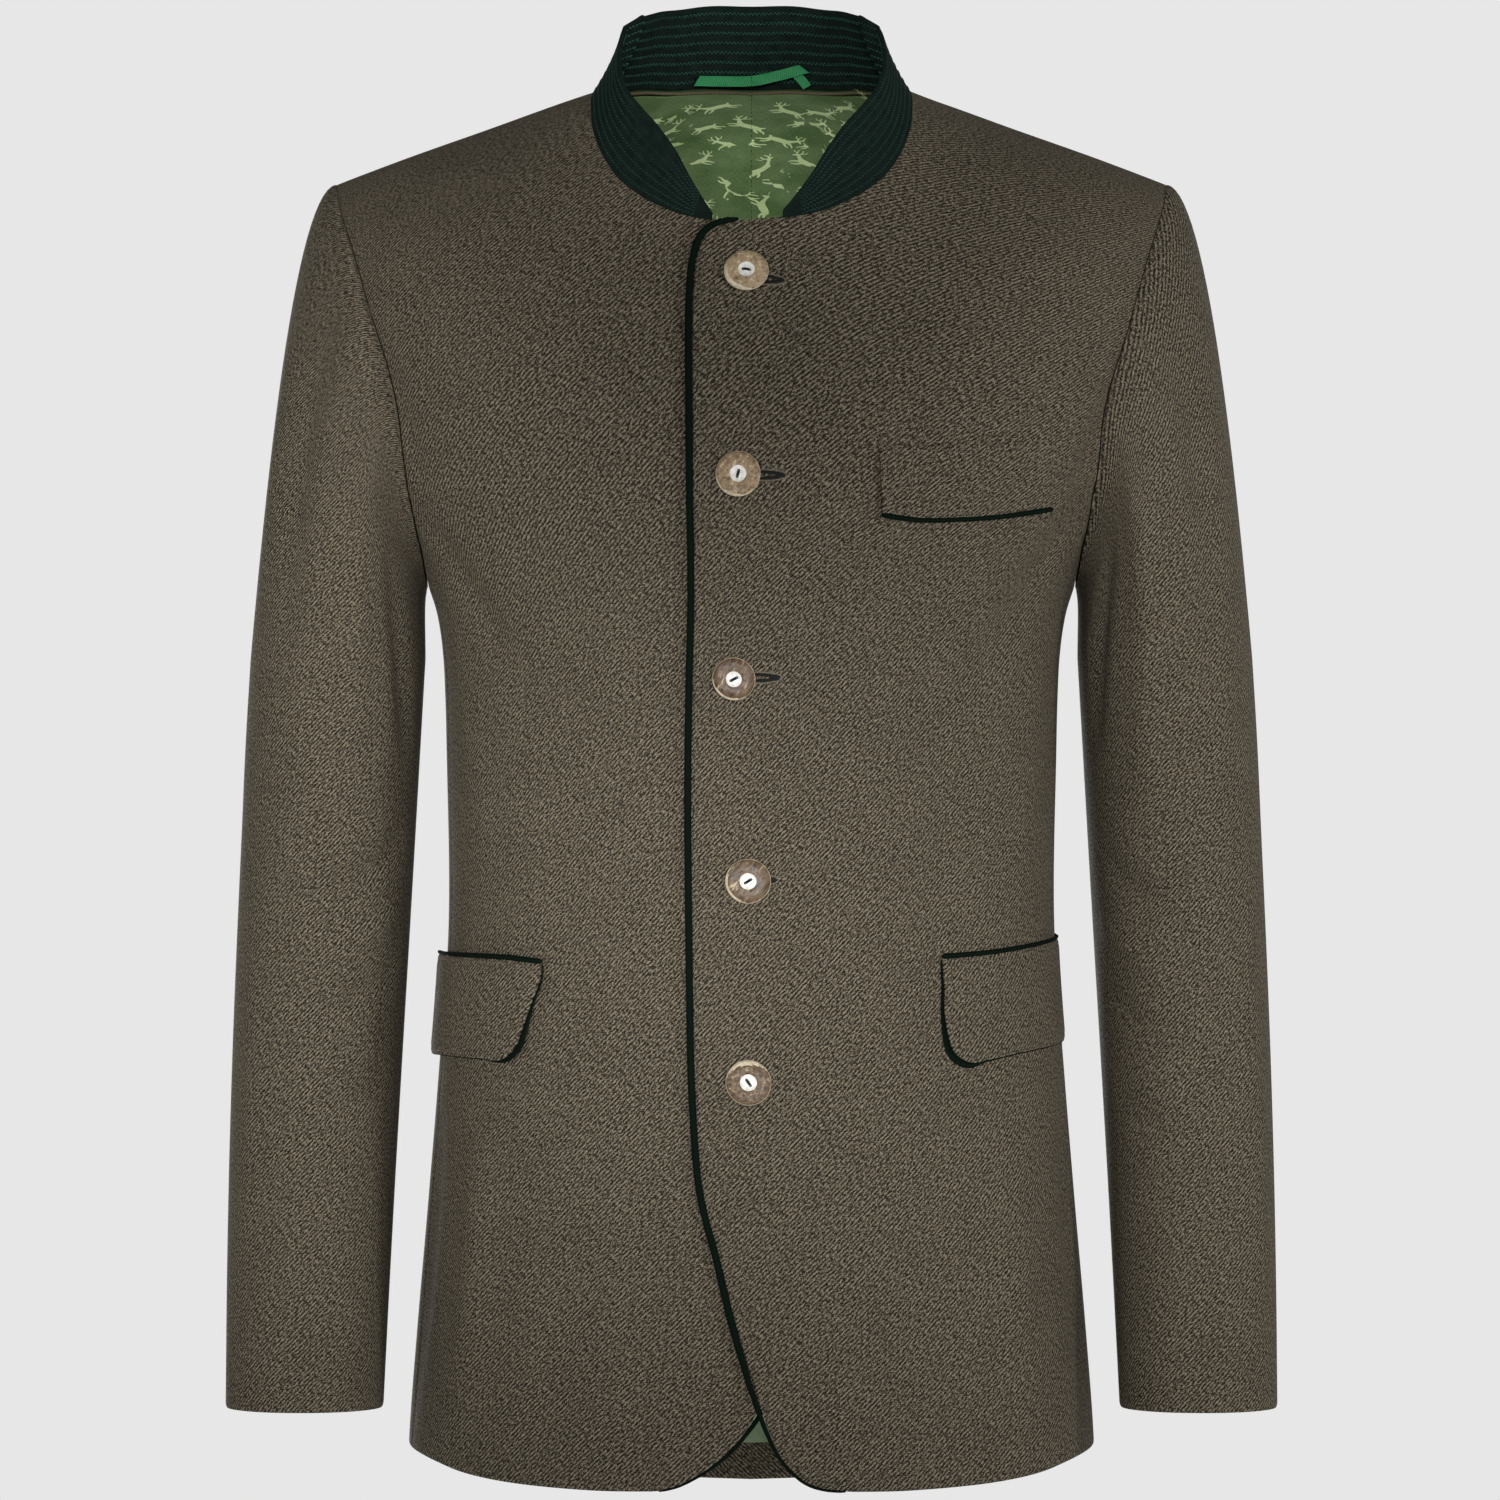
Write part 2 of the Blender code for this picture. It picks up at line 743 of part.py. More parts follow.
def back_outline():
    """Outline of the left back, up to the centre back seam."""
    _, _, armhole = armhole_parts(12, 5, 12)
    centre = math.pi * RADIUS
    hem_u = np.linspace(BACK_SEAM * RADIUS, centre, 9)
    hem = np.stack([hem_u, hem_height(hem_u / RADIUS)], axis=1)
    neck = neck_back_flat()[::-1]
    middle_w = np.linspace(hem[-1, 1], neck[0, 1], 28)
    middle = np.stack([np.full(28, centre), middle_w], axis=1)
    shoulder_u = np.linspace(neck[-1, 0], armhole[-1, 0], 9)
    shoulder = np.stack([shoulder_u, np.full(9, RISE)], axis=1)
    seam_w = np.linspace(armhole[0, 1], hem[0, 1], 22)
    seam = np.stack([np.full(22, BACK_SEAM * RADIUS), seam_w], axis=1)
    parts = [(hem[:-1], 0.0), (middle[:-1], SEAM_HALF), (neck[:-1], SEAM_HALF),
             (shoulder[:-1], SEAM_HALF), (armhole[::-1][:-1], SEAM_HALF), (seam[:-1], SEAM_HALF)]
    return join_parts(parts)


def lining_outline():
    """Outline of the back lining, a little inside both backs."""
    half = back_outline()
    centre = math.pi * RADIUS
    _, _, armhole = armhole_parts(12, 5, 12)
    neck = neck_back_flat()[::-1]
    shoulder = np.stack([np.linspace(neck[-1, 0], armhole[-1, 0], 7), np.full(7, RISE)], axis=1)
    low = half[:, 1].min() + 0.0185
    seam_w = np.linspace(armhole[0, 1], low, 18)
    seam = np.stack([np.full(18, BACK_SEAM * RADIUS), seam_w], axis=1)
    hem_u = np.linspace(BACK_SEAM * RADIUS, centre, 7)
    hem = np.stack([hem_u, np.maximum(hem_height(hem_u / RADIUS) + 0.0185, low)], axis=1)
    seam[-1] = hem[0]
    left = np.concatenate([neck[:-1], shoulder[:-1], armhole[::-1][:-1], seam[:-1], hem])
    right = left[1:-1][::-1].copy()
    right[:, 0] = 2 * centre - right[:, 0]
    outline = np.concatenate([left, right])
    gaps = np.full(len(outline), 0.003)
    gaps[:len(neck) - 1] = 0.0008
    gaps[-len(neck):] = 0.0008
    return inset(outline, gaps)


def sleeve_section(angle, z):
    """Point of the sleeve at an angle (0 outside, 90 degrees in front)."""
    mm = z * 1000
    outer = smooth(SLEEVE, mm, 1) / 1000
    inner = smooth(SLEEVE, mm, 2) / 1000
    middle = smooth(SLEEVE, mm, 3) / 1000
    deep = smooth(SLEEVE, mm, 4) / 1000
    c = math.cos(angle)
    s = math.sin(angle)
    x = (outer + inner) / 2 + (outer - inner) / 2 * math.copysign(abs(c) ** (2 / SLEEVE_SQUARE), c)
    y = middle - deep * math.copysign(abs(s) ** (2 / SLEEVE_SQUARE), s)
    return np.array([x, y, z])


def eased(rows, at, column):
    """Reads a table with soft steps between its rows."""
    for low, high in zip(rows, rows[1:]):
        if at <= high[0] + 1e-9:
            u = (at - low[0]) / (high[0] - low[0])
            u = u * u * (3 - 2 * u)
            return low[column] * (1 - u) + high[column] * u
    return rows[-1][column]


def sleeve_grid():
    """Outer and inner points of the left sleeve, row by row, and its angles."""
    front, under, back = armhole_parts(12, 5, 12)
    ring = np.concatenate([front, under[1:], back[1:-1]])
    count = len(ring)
    here = ring - np.roll(ring, 1, axis=0)
    there = np.roll(ring, -1, axis=0) - ring
    here[0] = there[0]
    tangent = unit(here + there)
    away = np.stack([-tangent[:, 1], tangent[:, 0]], axis=1)
    ring = ring + away * SEAM_HALF
    ring[:, 1] = np.minimum(ring[:, 1], RISE)
    starts = body(ring[:, 0] / RADIUS, ring[:, 1], np.full(count, 0.00035))
    steps = np.linalg.norm(np.diff(np.concatenate([starts, starts[:1]]), axis=0), axis=1)
    lengths = np.concatenate([[0.0], np.cumsum(steps)])
    lowest = int(np.argmin(starts[:, 2]))
    front_length = lengths[lowest]
    back_length = lengths[-1] - front_length
    angles = []
    for k in range(count):
        if k <= lowest:
            angles.append(math.pi * lengths[k] / front_length)
        else:
            angles.append(math.pi + math.pi * (lengths[k] - front_length) / back_length)
    levels = [0.0, 0.08, 0.20, 0.36, 0.55, 0.77, 1.0]
    heights = [-0.340, -0.395, -0.450, -0.510, -0.570, -0.630, -0.697]
    degrees = [math.degrees(angle) for angle in angles]
    leave = unit(np.array([[eased(HEAD, at, k) for k in (1, 2, 3)] for at in degrees]))
    rows = []
    for u in levels:
        row = []
        v = 1 - u
        for start, angle, at, way in zip(starts, angles, degrees, leave):
            p1 = start + way * eased(HEAD, at, 4) / 1000
            p3 = sleeve_section(angle, -0.300)
            p2 = p3 + np.array([eased(HEAD, at, 6), 0.0, eased(HEAD, at, 5)]) / 1000
            row.append(v ** 3 * start + 3 * u * v * v * p1 + 3 * u * u * v * p2 + u ** 3 * p3)
        rows.append(row)
    for z in heights:
        rows.append([sleeve_section(angle, z) for angle in angles])
    grid = np.array(rows)
    around = np.roll(grid, -1, axis=1) - np.roll(grid, 1, axis=1)
    down = np.gradient(grid, axis=0)
    down[0] = leave
    normals = unit(np.cross(around, down))
    middle = grid.mean(axis=1, keepdims=True)
    if np.sum((grid - middle) * normals) < 0:
        normals = -normals
    return grid, grid - normals * WALL, angles


def sleeve_piece(grid, inner, columns):
    """One part of the sleeve between two of its seams."""
    outer_part = grid[:, columns].copy()
    inner_part = inner[:, columns].copy()
    for part in (outer_part, inner_part):
        for edge, beside in ((0, 1), (-1, -2)):
            way = unit(part[:, beside] - part[:, edge])
            part[:, edge] += way * SEAM_HALF
    rows, wide = outer_part.shape[:2]
    faces = grid_faces(rows, wide)
    return wall(outer_part.reshape(-1, 3), inner_part.reshape(-1, 3), faces)


def place_along(line, lengths, point):
    """How far along a line of points the nearest place to a point is."""
    sides = np.diff(line, axis=0)
    u = np.clip(np.sum((point - line[:-1]) * sides, axis=1) / np.sum(sides * sides, axis=1), 0, 1)
    gaps = np.linalg.norm(line[:-1] + u[:, None] * sides - point, axis=1)
    k = int(np.argmin(gaps))
    return lengths[k] + u[k] * (lengths[k + 1] - lengths[k])


def collar_half(end, raised):
    """Neck seam and top edge of one half of the collar, from its front end to the centre back."""
    front = neck_front_flat()
    first = NECK_ENDS.index(end[0])
    line = np.concatenate([front[first:], neck_back_flat()[1:]])
    t = line[:, 0] / RADIUS
    w = line[:, 1]
    rise = np.where(t < math.pi / 2, raised(t, w), 0.0)
    foot = body(t, w, rise)
    out = body_normal(t, w) * rise[:, None]
    lengths = np.concatenate([[0.0], np.cumsum(np.linalg.norm(np.diff(foot, axis=0), axis=1))])
    rows = []
    for x, z, back, top_x, top_y, top_z in [end] + list(COLLAR):
        seam_t, seam_w = place(x / 1000, z / 1000, bool(back))
        seam = body(np.array([float(seam_t)]), np.array([float(seam_w)]), 0.0)[0]
        lean = np.array([top_x, top_y, top_z]) / 1000 - seam
        rows.append((place_along(foot - out, lengths, seam), *lean))
    reach = np.stack([smooth(rows, lengths, k) for k in (1, 2, 3)], axis=1)
    return foot, foot + reach


def collar_shape(levels=4):
    right_low, right_high = collar_half(COLLAR_RIGHT_END, no_lift)
    left_low, left_high = collar_half(COLLAR_LEFT_END, lift)
    turn = np.array([-1, 1, 1])
    low = np.concatenate([right_low * turn, left_low[::-1][1:]])
    high = np.concatenate([right_high * turn, left_high[::-1][1:]])
    low = low + unit(high - low) * GAP
    middle = (low + high) / 2 * np.array([1, 1, 0])
    share = np.clip((low[:, 2:] + 0.060) / 0.045, 0, 1)
    hollow = -unit(middle) * np.linalg.norm(high - low, axis=1, keepdims=True) * COLLAR_HOLLOW * share
    parts = np.linspace(0, 1, levels)
    grid = np.array([low + (high - low) * k + hollow * 4 * k * (1 - k) for k in parts])
    along = np.gradient(grid, axis=1)
    up = np.gradient(grid, axis=0)
    normals = unit(np.cross(along, up))
    if np.sum(grid[..., :2] * normals[..., :2]) < 0:
        normals = -normals
    inner = grid - normals * COLLAR_WALL
    faces = grid_faces(levels, len(low))
    return wall(grid.reshape(-1, 3), inner.reshape(-1, 3), faces)


def cord_on_body(line, offset, wide, high, sides=6):
    """A cord along a line of the unrolled form, its middle at an offset."""
    t = line[:, 0] / RADIUS
    w = np.minimum(line[:, 1], RISE)
    return tube(body(t, w, offset(t, w)), body_normal(t, w), wide, high, sides)


def loop_shape():
    line = through(np.array(LOOP) / 1000, 15)
    along = unit(np.gradient(line, axis=0))
    flat_way = np.array([0.0, -1.0, 0.0])
    across = unit(np.cross(along, flat_way))
    front = unit(np.cross(across, along))
    rows = np.array([line + across * LOOP_WIDE / 2, line, line - across * LOOP_WIDE / 2])
    outer = rows + front * LOOP_THICK / 2
    inner = rows - front * LOOP_THICK / 2
    faces = grid_faces(3, len(line))
    return wall(outer.reshape(-1, 3), inner.reshape(-1, 3), faces)


def button_shape(x, z, radius, front):
    """A turned button that faces out from the left front and rests just clear of it."""
    t, w = place(x / 1000, z / 1000)
    t = np.array([float(t)])
    w = np.array([float(w)])
    centre = body(t, w, lift(t, w))[0]
    axis = body_normal(t, w)[0]
    right = unit(np.cross(np.array([0.0, 0.0, 1.0]), axis))
    up = np.cross(axis, right)
    turns = np.arange(BUTTON_SIDES) * 2 * math.pi / BUTTON_SIDES
    seat = 1.0
    for a in turns:
        for part in (0.0, 0.36, 0.72):
            side = (math.cos(a) * right + math.sin(a) * up) * part * radius / 1000
            start = Vector(centre + side + axis * 0.01)
            seat = min(seat, front.ray_cast(start, Vector(-axis))[3] - 0.01)
    centre = centre - axis * (seat - GAP)
    vertices = []
    for part, height in BUTTON_PROFILE:
        for a in turns:
            side = math.cos(a) * right + math.sin(a) * up
            vertices.append(centre + side * part * radius / 1000 + axis * height / 1000)
    faces = grid_faces(len(BUTTON_PROFILE), BUTTON_SIDES, closed=True)
    last = (len(BUTTON_PROFILE) - 1) * BUTTON_SIDES
    faces.append(tuple(reversed(range(BUTTON_SIDES))))
    faces.append(tuple(last + k for k in range(BUTTON_SIDES)))
    return np.array(vertices), faces


def add_body_panels():
    front = front_outline()
    front_left = panel(front, PANEL_STEP, lift, below(WALL, lift))
    add("front_left", front_left, TWILL)
    add("front_right", panel(front, PANEL_STEP, no_lift, below(WALL)), TWILL, mirrored=True)
    side = panel(side_outline(), PANEL_STEP, no_lift, below(WALL))
    back = panel(back_outline(), PANEL_STEP, no_lift, below(WALL))
    add("side_left", side, TWILL)
    add("side_right", side, TWILL, mirrored=True)
    add("back_left", back, TWILL)
    add("back_right", back, TWILL, mirrored=True)
    lining_low = below(WALL + LINING_GAP + LINING_WALL)
    add("back_lining", panel(lining_outline(), LINING_STEP, below(WALL + LINING_GAP), lining_low), LINING)
    return BVHTree.FromPolygons([tuple(v) for v in front_left[0]], front_left[1])


def add_sleeves():
    grid, inner, angles = sleeve_grid()
    degrees = np.degrees(angles)
    first = int(np.argmin(np.abs(degrees - SLEEVE_SEAMS[0])))
    last = int(np.argmin(np.abs(degrees - SLEEVE_SEAMS[1])))
    under = list(range(first, last + 1))
    top = list(range(last, len(angles))) + list(range(0, first + 1))
    for side, mirrored in (("left", False), ("right", True)):
        add("sleeve_" + side + "_top", sleeve_piece(grid, inner, top), TWILL, mirrored)
        add("sleeve_" + side + "_under", sleeve_piece(grid, inner, under), TWILL, mirrored)


def add_flap(name, outline, base, mirrored):
    on_top = below(-(FLAP_GAP + FLAP_WALL), base)
    under = below(-FLAP_GAP, base)
    add(name, panel(outline, FLAP_STEP, on_top, under), TWILL, mirrored)


def add_pockets():
    raised = below(-(FLAP_GAP + FLAP_CORD), lift)
    add_flap("chest_flap", sharp_outline(flat(CHEST), (0, 4, 6, 9)), lift, False)
    edge = through(flat(CHEST)[:5], 16)
    edge[:, 1] -= FLAP_CORD + GAP
    add("piping_chest", cord_on_body(edge, raised, FLAP_CORD, FLAP_CORD), PIPING)
    for name, rows, first, mirrored in (("left", HIP_LEFT, 15, False), ("right", HIP_RIGHT, 14, True)):
        points = flat_at_angles(rows)
        add_flap("hip_flap_" + name, sharp_outline(points, (0, first)), lift, mirrored)
        top = np.concatenate([points[first:], points[:1]])
        line = through(top, 20)
        line[:, 1] += FLAP_CORD + GAP
        add("piping_hip_" + name, cord_on_body(line, raised, FLAP_CORD, FLAP_CORD), PIPING, mirrored)


def sharp_outline(points, corners):
    """A closed outline that is smooth between its corners."""
    count = len(points)
    result = []
    for k, start in enumerate(corners):
        end = corners[(k + 1) % len(corners)]
        if end <= start:
            end += count
        stretch = points[[i % count for i in range(start, end + 1)]]
        length = np.linalg.norm(np.diff(stretch, axis=0), axis=1).sum()
        stations = max(3, int(round(length / 0.010)) + 1)
        result.append(through(stretch, stations)[:-1])
    return np.concatenate(result)


def add_trim(front):
    edge = front_edge_flat()
    over = below(-(CORD_HIGH - WALL + GAP), lift)
    add("piping_front_left", cord_on_body(edge, over, CORD_WIDE, CORD_HIGH), PIPING)
    level = below(UNDER_CORD_DROP)
    add("piping_front_right", cord_on_body(edge, level, CORD_WIDE, UNDER_CORD_HIGH), PIPING, mirrored=True)
    add("collar", collar_shape(), MELTON)
    add("hanger_loop", loop_shape(), RIBBON)
    for number, (x, z, radius) in enumerate(BUTTONS, start=1):
        add("button_" + str(number), button_shape(x, z, radius, front), HORN)


def main():
    for thing in list(bpy.data.objects):
        bpy.data.objects.remove(thing, do_unlink=True)
    front = add_body_panels()
    add_sleeves()
    add_pockets()
    add_trim(front)


main()
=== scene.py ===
"""Looks of a hollow stand-collar jacket in wool twill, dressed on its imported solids.

Metres, +Z up. The front looks along -Y and the wearer's left is +X. The cloth is
cut flat, as points (u, w) of an unrolled form, and wrapped on the worn shape.
"""

from __future__ import annotations

import logging
import math
from collections.abc import Callable, Sequence
from dataclasses import dataclass, field
from enum import Enum
from functools import cached_property

import bpy
import numpy as np
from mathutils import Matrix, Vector, geometry, noise

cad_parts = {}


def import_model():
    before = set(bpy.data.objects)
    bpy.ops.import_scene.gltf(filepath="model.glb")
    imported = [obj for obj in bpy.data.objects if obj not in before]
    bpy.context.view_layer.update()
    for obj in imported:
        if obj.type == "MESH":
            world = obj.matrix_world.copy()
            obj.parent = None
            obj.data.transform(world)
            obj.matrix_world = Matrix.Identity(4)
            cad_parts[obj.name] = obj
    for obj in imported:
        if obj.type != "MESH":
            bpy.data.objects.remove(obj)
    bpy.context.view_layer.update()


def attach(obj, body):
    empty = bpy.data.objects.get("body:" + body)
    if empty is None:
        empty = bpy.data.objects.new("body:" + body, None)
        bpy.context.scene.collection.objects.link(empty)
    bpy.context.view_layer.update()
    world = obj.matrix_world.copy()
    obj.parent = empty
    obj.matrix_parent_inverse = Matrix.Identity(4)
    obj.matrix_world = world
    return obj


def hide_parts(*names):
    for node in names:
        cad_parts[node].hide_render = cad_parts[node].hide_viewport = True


LOG = logging.getLogger("jacket")

Points = np.ndarray
Rows = Sequence[Sequence[float]]
Colour = tuple[float, float, float]
Material = bpy.types.Material
Piece = bpy.types.Object
Socket = bpy.types.NodeSocket

# Walls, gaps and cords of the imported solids
WALL = 0.002
LINING_GAP = 0.0024
LINING_HEM = 0.0185
COLLAR_WALL = 0.0025
CORD_WIDE = 0.0019
CORD_HIGH = 0.0014
UNDER_CORD_HIGH = 0.0011
UNDER_CORD_DROP = 0.0016
FLAP_CORD = 0.0015
FLAP_TOP = 0.0021

# How far the collar bows inwards, as a share of its height
COLLAR_HOLLOW = 0.045

# Angles of the seams at the front and the back of the side panel
FRONT_SEAM = math.radians(80)
BACK_SEAM = math.radians(118)

# Edges above this angle stay sharp on pieces with more than one finish
RIM_ANGLE = math.radians(62)

# How thick a piping, or the dark strip of painted shade beside a flap, is at its thin end, as a share
THIN_CORD = 0.34

# Distance of the rows of a staggered grid, as a share of its step
ROW_SHARE = 0.866

# Body rings, mm: height, half width, front depth, back depth
BODY = (
    (-760, 184.7, 147, 146), (-715, 183.2, 146, 143), (-661, 179.2, 144, 138),
    (-590, 173.1, 141, 128), (-525, 167.8, 137, 113), (-444, 162.3, 132, 102),
    (-353, 163.2, 136, 109), (-320, 164, 139, 114), (-300, 165, 141, 117),
    (-285, 166.7, 142, 119), (-275, 168.6, 143, 120), (-262, 172.8, 144, 121),
    (-247, 178.5, 145, 122), (-220, 193, 146, 123), (-190, 207, 146, 123),
    (-160, 219, 146, 123), (-125, 230.5, 146, 122), (-80, 240, 145, 121),
    (-40, 246, 143, 120), (40, 250, 140, 118),
)

# Shoulder ridge, mm: distance from the middle, height for the front, for the back
RIDGE = (
    (0, 24, 30), (35, 19.5, 28), (60, 12, 18.5), (76, 6.4, 8.6), (85, 3.4, 3.4),
    (98, -1, -1), (142, -17, -17), (188, -33.4, -33.4), (229, -49, -49),
    (270, -66, -66),
)

# How square the closing over the shoulders is, mm: distance, front, back
CLOSING = ((0, 1.65, 2.40), (90, 1.80, 2.35), (160, 2.20, 2.30), (250, 2.30, 2.30))

# Hem: angle from the front centre in degrees, height in mm
HEM = (
    (-20, -734.3), (0, -734.3), (12.7, -735.2), (22, -735.4), (31, -734.4), (40, -732.9),
    (54, -729), (64, -724.8), (73, -722), (90, -720), (110, -723), (140, -738),
    (165, -748.5), (180, -751),
)

# Armhole from the underarm to the shoulder: angle in degrees, height in mm
ARMHOLE = (
    (90, -262), (86, -259.5), (81.5, -254), (77.8, -247.4), (72.2, -233.8),
    (65.8, -212.4), (61.6, -192), (59.2, -174.3), (58.3, -161.5), (57.8, -143.6),
    (57.8, -127.7), (58.9, -100.5), (60.4, -81.2), (61.9, -66.7), (63.4, -46.6),
)

# Neck seam on the front and on the back, mm: distance from the middle, height
NECK_FRONT = (
    (-7, -71.6), (0, -71.5), (10, -71), (20.7, -69.8), (33.4, -67.4), (50.2, -60.8),
    (67.7, -48.6), (77, -36.5), (83.1, -22), (85.5, -7), (85, 3.4),
)
NECK_BACK = (
    (85, 3.4), (81, 5.6), (76, 7.2), (60, 9.6), (35, 10.3), (0, 10.3),
)

# Front edge, the middle of its piping, mm: distance from the middle, height
FRONT_EDGE = (
    (-7, -71.6), (-15.5, -72.9), (-20.7, -74.7), (-24.9, -78), (-28, -82.9),
    (-30.1, -89.5), (-31.6, -98.1), (-32.4, -110), (-32.6, -167), (-32.4, -320),
    (-32, -479), (-30.7, -531), (-26.2, -583), (-18, -615.4), (-10.9, -645.6),
    (-3, -673.2), (2.3, -689.5), (8.6, -706.2), (13.8, -716.5), (21.6, -725.8),
    (29.4, -731.6), (37.7, -734.2), (48.6, -735.2),
)

# The right front's edge leaves the left one's line here and runs on to its own rounder corner
UNDER_EDGE_ROWS = 13
UNDER_EDGE = FRONT_EDGE[:UNDER_EDGE_ROWS] + (
    (-23, -615.4), (-18.6, -650), (-12.4, -678), (-8.4, -688.4), (-3.6, -696.4),
    (2.6, -705), (9.6, -713.4), (19.2, -721.6), (29.5, -728.2), (39, -732.8), (48.6, -735.2),
)

# Hip flaps: angle in degrees, height in mm
HIP_RIGHT = (
    (38.7, -461.4), (38.7, -468.8), (40.3, -481), (41.9, -494.2), (43.6, -506),
    (46.5, -511.6), (53.6, -511.8), (61.7, -511.3), (75, -511), (92, -511),
    (98.6, -509.5), (101.3, -504), (102, -490), (102, -472), (101.5, -459.5),
    (90, -458.5), (75, -458.6), (60, -459), (48, -459.6),
)
HIP_LEFT = (
    (34.9, -458.6), (34.9, -472.6), (34.5, -486.8), (34.9, -498.3), (36, -507.6),
    (39.2, -512.8), (44.6, -511.7), (51.5, -509.5), (60, -507.4), (75, -505.2),
    (90, -503.3), (95.6, -501.3), (98.3, -496), (99, -482), (99, -462),
    (98.5, -449.2), (84, -450.3), (62.6, -453.6), (48, -456.6),
)

# Chest flap, mm: distance from the middle, height
CHEST = (
    (67.2, -225), (86, -227.4), (108, -227), (130.3, -225.2), (158.2, -220.6),
    (158.9, -204), (159.6, -188.2), (128, -189.2), (97, -190.6), (66, -192),
    (66.5, -208),
)

# Darts in the fronts, mm: distance from the middle, height, for the left and the right
DART_LEFT = ((101.5, -297), (100.5, -360), (98.5, -410), (98, -452))
DART_RIGHT = ((119.5, -271), (120, -330), (119.5, -390), (118.5, -445))

# Sleeve sections, mm: height, outer side, inner side, middle y, half depth
SLEEVE = (
    (-300, 268, 174.6, 5, 66), (-340, 270.6, 177, 8, 63.5), (-395, 273.2, 180.2, 10, 60.5),
    (-450, 275.7, 183.4, 10, 58), (-510, 277.8, 186.8, 5, 55.5), (-570, 279, 189.9, -6, 53),
    (-630, 279.3, 192.6, -22, 50), (-697, 278.7, 195.2, -45, 47),
)

# Sleeve head, at four sides: angle in degrees, direction away from the
# armhole, length of that handle, length and x shift of the lower handle (mm)
HEAD = (
    (0, 1, 0, -0.12, 19.5, 130, -11.3), (90, 0.92, -0.30, 0.10, 20, 68, -3),
    (180, 0.55, 0, -0.84, 5, 16, 0), (270, 0.92, 0.32, 0.10, 20, 72, -3),
    (360, 1, 0, -0.12, 19.5, 130, -11.3),
)

# Collar, mm: neck x, neck z, on the back or not, then x, y and z of its top edge
COLLAR_RIGHT_END = (20.5, -69.9, 0, 20.3, -88.6, -67.2)
COLLAR_LEFT_END = (16, -70.3, 0, 16.3, -89.4, -67.4)
COLLAR = (
    (33.4, -67.4, 0, 30.5, -73.5, -45.5), (50.2, -60.8, 0, 40.6, -62, -29.5),
    (67.7, -48.6, 0, 53, -51, -14), (77, -36.5, 0, 64.5, -40.5, -1.5),
    (83.1, -22, 0, 71, -26, 11.5), (85.5, -7, 0, 71.2, -9.5, 26.5),
    (85, 3.4, 0, 68.6, 8.5, 37.6), (76, 7.2, 1, 61.8, 28, 44.2),
    (60, 9.6, 1, 50.5, 45, 48.3), (35, 10.3, 1, 31, 57.5, 51.6),
    (0, 10.3, 1, 0, 62, 53),
)

# Hanger loop, mm: x, y, z of its middle line
LOOP = (
    (-29.5, 59.8, 13.2), (-15, 60.2, 12.9), (1.5, 60, 13.2), (15.5, 59.6, 16.2),
    (28.5, 58.4, 19.6),
)

# Folds of the body cloth: start, middle and end, each as angle in degrees and height
# in mm, then half width and height in mm. A negative height is a trough.
BODY_FOLDS = (
    (67, -208, 56, -262, 42, -322, 14, -3.1), (61, -128, 58, -176, 61, -226, 8, -2.4),
    (72, -268, 61, -350, 57, -436, 20, 1.7), (41, -285, 35, -400, 37, -520, 23, -2),
    (53, -548, 50, -640, 54, -726, 18, 3.4), (30, -570, 27, -650, 31, -733, 20, -2.4),
    (76, -528, 73, -622, 77, -720, 14, -2.1), (24, -110, 33, -150, 48, -170, 22, 2),
    (-66, -214, -57, -270, -40, -335, 13, -3.4), (-60, -120, -57, -168, -60, -220, 8, -2.5),
    (-73, -262, -63, -340, -60, -424, 18, 1.5), (-38, -290, -33, -392, -35, -500, 25, -2.1),
    (-56, -540, -54, -628, -58, -722, 16, 3.8), (-33, -586, -30, -664, -34, -733, 18, -2.1),
    (-77, -536, -75, -610, -79, -716, 14, -1.9), (-26, -118, -36, -160, -50, -184, 20, 1.7),
    (92, -292, 96, -372, 92, -452, 13, -2.5), (104, -420, 102, -540, 105, -700, 16, 2.3),
    (-94, -300, -99, -364, -95, -438, 12, -2.3), (-103, -436, -100, -556, -104, -704, 15, 2.1),
    (118, -300, 128, -350, 139, -372, 12, -4.5), (121, -352, 133, -392, 148, -404, 11, -3.5),
    (-120, -310, -131, -356, -142, -380, 11, -4.2), (-122, -368, -136, -404, -150, -412, 10, -3.1),
    (150, -440, 147, -580, 151, -736, 20, 5), (166, -470, 163, -600, 165, -744, 15, -4.2),
    (132, -470, 129, -600, 133, -728, 17, -4.5), (-148, -448, -150, -570, -146, -734, 18, 4.6),
    (-165, -478, -168, -610, -166, -744, 14, -3.9), (-131, -466, -134, -610, -131, -726, 16, -3.8),
    (128, -120, 134, -190, 131, -262, 15, -4.6), (146, -60, 148, -150, 153, -250, 23, 3.4),
    (-129, -112, -135, -184, -132, -256, 14, -4.8), (-147, -66, -150, -156, -154, -246, 22, 3.1),
    (158, -16, 166, -28, 172, -46, 9, -2.5), (-160, -18, -167, -30, -174, -44, 8, -2.4),
)

